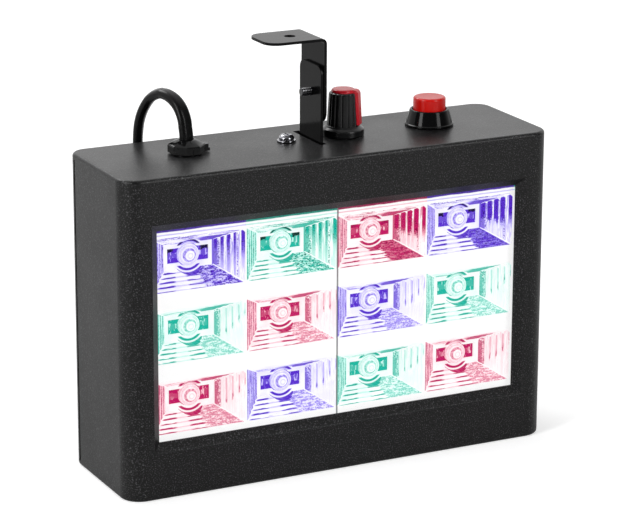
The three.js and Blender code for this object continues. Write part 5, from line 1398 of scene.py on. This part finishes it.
def cup_outside(x, z):
    """The plain outside of one cup."""
    start, end = MOUTH_Y + CUT_STEP, REAR_Y + CUT_STEP
    levels = ((CELL_WIDTH, CELL_HEIGHT, start), (FLOOR_WIDTH, FLOOR_HEIGHT, end))
    rings = [
        cell_ring(x, y, z, width / 2 + PLATE, height / 2 + PLATE) for width, height, y in levels]
    return loft("cup_outside", rings)


def row_height(row):
    """The middle of a row of cells, counted from the top."""
    return MIDDLE_Z + (1 - row) * ROW_PITCH


def build_reflector(name, side, node):
    """Half of the reflector: two columns of three cups."""
    half_height = ROWS * ROW_PITCH / 2 + FLANGE
    edges = sorted((side * HALF_GAP, side * (2 * COLUMN_PITCH + FLANGE)))
    ends = (MIDDLE_Z - half_height, MIDDLE_Z + half_height)
    wide = (edges[0] - OVERRUN, edges[1] + OVERRUN)
    tall = (ends[0] - OVERRUN, ends[1] + OVERRUN)
    plate = block(name, *wide, MOUTH_Y - OVERRUN, MOUTH_Y + PLATE, *tall)
    places = []
    for column in range(COLUMNS // 2):
        for row in range(ROWS):
            places.append((side * (column + 1 / 2) * COLUMN_PITCH, row_height(row)))

    def rods(label, radius, start, end, sides=BEAD_SIDES):
        return [rod(label, radius, start, end, "y", (x, 0, z), sides) for x, z in places]

    # Cups and the round pockets of the beads, cut off flat at the mouth and at the back
    join(plate, *[cup_outside(x, z) for x, z in places])
    back = REAR_Y + 2 * CUT_STEP
    join(plate, *rods("pocket", POCKET_RADIUS + PLATE, FLOOR_Y - POCKET_REACH, back, FINE_SIDES))
    meet(plate, block("limits", *edges, MOUTH_Y, REAR_Y, *ends))

    # Their insides, and a round hole and a level slot in each floor
    start, end = FLOOR_Y - OVERRUN, REAR_Y + OVERRUN
    cut(plate, *[cup(x, z) for x, z in places])
    cut(plate, *rods("pocket", POCKET_RADIUS, MOUTH_Y - CUT_STEP, FLOOR_Y - CUT_STEP / 2))
    cut(plate, *rods("hole", HOLE_RADIUS, start, end))
    start, end = start - CUT_STEP, end + CUT_STEP
    half_x, half_z = SLOT_WIDTH / 2, SLOT_HEIGHT / 2
    slots = []
    for x, z in places:
        slots.append(block("slot", x - half_x, x + half_x, start, end, z - half_z, z + half_z))
    cut(plate, *slots)
    finish(plate, "housing", MIRROR, (node,), SHARP_FLUTES)


def lead_outline(x, z):
    """The lead frame of a bead: a strip that steps down at each side."""
    half, neck = BEAD_LEAD_WIDTH / 2, BEAD_LEAD_NECK / 2
    corners = [(-BEAD_LEAD_REACH, -half), (-BEAD_LEAD_STEP, -half), (-BEAD_LEAD_STEP, -neck)]
    corners += [(-u, v) for u, v in reversed(corners)]
    corners += [(u, -v) for u, v in reversed(corners)]
    return [(x + u, z + v) for u, v in corners]


def build_bead(number, x, z):
    """A lamp bead: a rimmed body and a domed lens on a lead frame."""
    centre = (x, REAR_Y, z)
    body = turned(f"bead_body_{number}", in_metres(BEAD_BODY), "y", centre, BEAD_SIDES, way=-1)
    finish(body, "housing", BEAD_BODY_CLEAR, (f"lamp_bead_{number}",))
    lens = turned(f"bead_lens_{number}", in_metres(BEAD_LENS), "y", centre, BEAD_SIDES, way=-1)
    finish(lens, "housing", BEAD_LENS_CLEAR)
    front = REAR_Y - BEAD_LEAD_THICKNESS
    leads = slab(f"bead_leads_{number}", lead_outline(x, z), "y", front, REAR_Y)
    soften(leads, BEAD_LEAD_THICKNESS / 4)
    finish(leads, "housing", BEAD_LEADS)


def build_beads():
    """The twelve beads; the colours take turns along the rows and down the columns."""
    for row in range(ROWS):
        for column in range(COLUMNS):
            x = (column + (1 - COLUMNS) / 2) * COLUMN_PITCH
            build_bead(f"{row + 1}_{column + 1}", x, row_height(row))


# Controls

def on_knob(piece):
    """Places a piece modelled about its own axis on the knob's axis."""
    place = Matrix.Translation((KNOB_X, CONTROL_Y, TOP_Z))
    piece.data.transform(place @ turned_by(KNOB_TURN))


def grip_ring(radius, height):
    """A ring of the grip: smooth faces between narrow grooves."""
    ring = []
    for i in range(GRIP_FACES * GRIP_FACE_POINTS):
        share = i / GRIP_FACE_POINTS % 1
        into = min(share, 1 - share) / GRIP_GROOVE_SHARE
        reach = radius - GRIP_GROOVE * math.exp(-into * into)
        angle = 2 * math.pi * i / (GRIP_FACES * GRIP_FACE_POINTS)
        ring.append(on_circle(reach, angle, height))
    return ring


def build_knob():
    """The grooved grip with its skirt, and the cap with the pointer that runs down a slot."""
    grip = loft("knob_grip", [grip_ring(radius, height) for radius, height in in_metres(GRIP)])
    join(grip, turned("skirt", in_metres(SKIRT), sides=KNOB_SIDES))
    half = POINTER_SLOT_HALF
    cut(grip, block("pointer_slot", *POINTER_SLOT, -half, half, POINTER_SLOT_LOW, TOP_Z))
    on_knob(grip)
    finish(grip, "knob", KNOB_BLACK, ("speed_knob",))
    cap = turned("knob_cap_disc", in_metres(CAP), sides=KNOB_SIDES)
    join(cap, slab("pointer", rounded(in_metres(POINTER)), "y", -POINTER_HALF, POINTER_HALF))
    soften(cap, CAP_EDGE, 3)
    on_knob(cap)
    finish(cap, "knob", CAP_RED, ("knob_cap",))


def build_switch():
    """The cup-shaped body with its collar and blades, and the button that slides in it."""
    place = (SWITCH_X, CONTROL_Y, TOP_Z)
    collar = turned("switch_collar", in_metres(COLLAR), centre=place, sides=KNOB_SIDES)
    low, high = [TOP_Z + z for z in SWITCH_BLADE_Z]
    y0, y1 = CONTROL_Y - SWITCH_BLADE_HALF, CONTROL_Y + SWITCH_BLADE_HALF
    for side in (-1, 1):
        start, end = sorted(SWITCH_X + side * x for x in SWITCH_BLADE_X)
        join(collar, block("blade", start, end, y0, y1, low, high))
    finish(collar, "housing", GLOSS_BLACK, ("switch_body",))
    button = turned("button_top", in_metres(BUTTON), centre=place, sides=KNOB_SIDES)
    finish(button, "button", RED, ("push_button",))


def build_bushing():
    """An octagonal head of two halves on a barbed neck; the cord leaves through its mouth."""
    angles = [2 * math.pi * (i + 1 / 2) / BUSHING_SIDES for i in range(BUSHING_SIDES)]
    rings = []
    for radius, height in in_metres(BUSHING_HEAD):
        rings.append([on_circle(radius, angle, height) for angle in angles])
    head = loft("cord_bushing_head", rings)
    start, end = BUSHING_LUG
    lug = block("lug", start, end, -BUSHING_LUG_HALF, BUSHING_LUG_HALF, *BUSHING_LUG_Z)
    join(head, lug, turned("neck", in_metres(BUSHING_NECK), sides=BEAD_SIDES))

    # The mouth for the cord, the parting of the halves over and before it, and the lug's notch
    gap = BUSHING_PARTING / 2
    high = 2 * BUSHING_MOUTH_Z
    notch_x, notch_z = end - BUSHING_LUG_NOTCH, BUSHING_LUG_Z[1] / 2
    mouth = slab("mouth", flat_section(BUSHING_MOUTH_ROOM), "z", BUSHING_MOUTH_Z, high)
    mouth.data.transform(turned_by(CORD_TURN))
    over = block("parting", -gap, gap, -end, end, BUSHING_PARTING_Z, high)
    before = block("parting", -gap, gap, -end, -BUSHING_PARTING_Y, -high, high - BUSHING_PARTING)
    notch = block("notch", notch_x, end + OVERRUN, -end, end, notch_z, high)
    for tool in (mouth, over, before, notch):
        cut(head, tool)
    soften(head, BUSHING_EDGE)
    head.data.transform(Matrix.Translation((BUSHING_X, BUSHING_Y, TOP_Z)))
    finish(head, "housing", BUSHING_BLACK, ("cord_bushing",))


# Bracket

def angle_outline(face_x, level_z, end_z, length, bend):
    """A strip bent once: level at one height, then along the face to its end."""
    way = 1 if end_z > level_z else -1
    inner_z = level_z + way * STRIP
    return rounded([
        (face_x - length, level_z, 0), (face_x, level_z, bend + STRIP), (face_x, end_z, 0),
        (face_x - STRIP, end_z, 0), (face_x - STRIP, inner_z, bend), (face_x - length, inner_z, 0),
    ])


def build_lower_bracket():
    """The strip that stands on its foot under the top face and comes up through the slot."""
    y0, y1 = CONTROL_Y - LOWER_HALF, CONTROL_Y + LOWER_HALF
    outline = angle_outline(LOWER_FACE_X, LOWER_LEVEL_Z, LOWER_END_Z, LOWER_FOOT, LOWER_BEND)
    strip = slab("lower_bracket_strip", outline, "y", y0, y1)
    corner = LOWER_CORNER
    face = [(y0, 0, 0), (y1, 0, 0), (y1, LOWER_END_Z, corner), (y0, LOWER_END_Z, corner)]
    meet(strip, slab("face", rounded(face), "x", -LOWER_FOOT, LOWER_FOOT))
    beyond = LOWER_FACE_X + OVERRUN
    cut(strip, rod("pivot_hole", SCREW_RADIUS, 0, beyond, "x", (0, CONTROL_Y, PIVOT_Z)))
    soften(strip, STRIP_EDGE)
    finish(strip, "housing", BRACKET_BLACK, ("lower_bracket",))


def build_upper_bracket():
    """The strip that tilts on the pivot screw, with the flange and its hanging hole."""
    y0, y1 = UPPER_Y
    x0, x1 = UPPER_FACE_X - UPPER_FLANGE, UPPER_FACE_X + OVERRUN
    low, top = UPPER_END_Z, UPPER_LEVEL_Z + OVERRUN
    outline = angle_outline(UPPER_FACE_X, UPPER_LEVEL_Z, UPPER_END_Z, UPPER_FLANGE, UPPER_BEND)
    strip = slab("upper_bracket_strip", outline, "y", y0, y1)
    corner = UPPER_CORNER
    face = rounded([(y0, low, corner), (y1, low, corner), (y1, top, 0), (y0, top, 0)])
    meet(strip, slab("face", face, "x", -UPPER_FLANGE, UPPER_FLANGE))
    corner = FLANGE_CORNER
    plan = rounded([(x0, y0, corner), (x1, y0, 0), (x1, y1, 0), (x0, y1, corner)])
    meet(strip, slab("plan", plan, "z", low - OVERRUN, top))
    radius = SCREW_RADIUS + UPPER_HOLE_ROOM
    pivot_hole = rod("pivot_hole", radius, 0, x1, "x", (0, CONTROL_Y, PIVOT_Z))
    hang_hole = rod("hang_hole", HANG_HOLE_RADIUS, PIVOT_Z, top, "z", (*HANG_HOLE, 0))
    cut(strip, pivot_hole, hang_hole)
    soften(strip, STRIP_EDGE)
    finish(strip, "bracket_arm", BRACKET_BLACK, ("upper_bracket",))


# Floor, lamps and world

FLOOR_REACH = 6
FLOOR_DEPTH = 0.02
FLOOR_COLOUR = (0.75, 0.75, 0.75, 1)
# How strongly the floor glows to the camera: this much near the object, and white farther off.
# Glossy pieces mirror only a small share of it.
FLOOR_LIFT = 0.45
FLOOR_FADE = (0.5, 1.5)
FLOOR_SHINE = 0.05

# The room's light, and the step from the dim room in front to the white backdrop in reflections
ROOM_LIGHT = 0.3
ROOM_STEP = (-0.6, 0.3)
ROOM_MIRRORED = (0.1, 1.2)

# Lamps, all turned to the same point: (name, place, width and height, power)
AIM = (0, 0, 0.06)
STRIP_LAMP = (0.4, 1.1)
LAMPS = [
    ("left_strip_lamp", (-1.2, -0.35, 0.65), STRIP_LAMP, 13),
    ("right_strip_lamp", (0.5, -1.1, 0.65), STRIP_LAMP, 9),
    ("back_lamp", (-0.3, 1.2, 1.3), (0.9, 0.6), 13),
]


def build_floor():
    """A pale floor that keeps the object's shadow and fades to white round it."""
    reach = FLOOR_REACH
    outline = rounded(rectangle(-reach, reach, -reach, reach))
    floor = slab("pale_floor", outline, "z", -FLOOR_DEPTH, 0)
    made, nodes, sockets = material("pale_floor", Roughness=0.8)
    floor.data.materials.append(made)
    sockets["Base Color"].default_value = FLOOR_COLOUR
    sockets["Emission Color"].default_value = WHITE
    rays = nodes.add("ShaderNodeLightPath").outputs
    seen = nodes.most(rays["Is Camera Ray"], rays["Is Transmission Ray"])
    shown = nodes.most(seen, nodes.times(rays["Is Glossy Ray"], FLOOR_SHINE))
    away = nodes.add("ShaderNodeVectorMath", {"operation": "LENGTH"})
    nodes.feed(away.inputs[0], nodes.place())
    lift = nodes.ramp(away.outputs["Value"], *FLOOR_FADE, FLOOR_LIFT, 1.0)
    nodes.feed(sockets["Emission Strength"], nodes.times(shown, lift))


def build_world():
    """White to the camera; reflections show a white backdrop and a dim room in front."""
    world = bpy.data.worlds.new("studio")
    bpy.context.scene.world = world
    world.use_nodes = True
    nodes = Nodes(world.node_tree)
    rays = nodes.add("ShaderNodeLightPath").outputs
    background = world.node_tree.nodes["Background"]
    background.inputs["Color"].default_value = WHITE
    direction = nodes.add("ShaderNodeTexCoord").outputs["Generated"]
    mirrored = nodes.ramp(nodes.split(direction)["Y"], *ROOM_STEP, *ROOM_MIRRORED)
    seen = nodes.most(rays["Is Camera Ray"], rays["Is Transmission Ray"])
    strength = nodes.blend(rays["Is Glossy Ray"], ROOM_LIGHT, mirrored)
    nodes.feed(background.inputs["Strength"], nodes.most(seen, strength))


def build_lamp(name, place, size, power):
    data = bpy.data.lights.new(name, "AREA")
    data.shape = "RECTANGLE"
    data.size, data.size_y = size
    data.energy = power
    lamp = bpy.data.objects.new(name, data)
    lamp.location = place
    lamp.rotation_mode = "QUATERNION"
    lamp.rotation_quaternion = (Vector(AIM) - Vector(place)).to_track_quat("-Z", "Y")
    bpy.context.scene.collection.objects.link(lamp)


build_camera()
finish_nodes()
build_cord()
build_screws()
build_front_housing()
build_rear_cover()
build_reflector("reflector_half_left", -1, "reflector_left")
build_reflector("reflector_half_right", 1, "reflector_right")
build_beads()
build_knob()
build_switch()
build_bushing()
build_lower_bracket()
build_upper_bracket()
build_floor()
build_world()
for lamp_settings in LAMPS:
    build_lamp(*lamp_settings)

bpy.context.scene.view_settings.view_transform = "Standard"
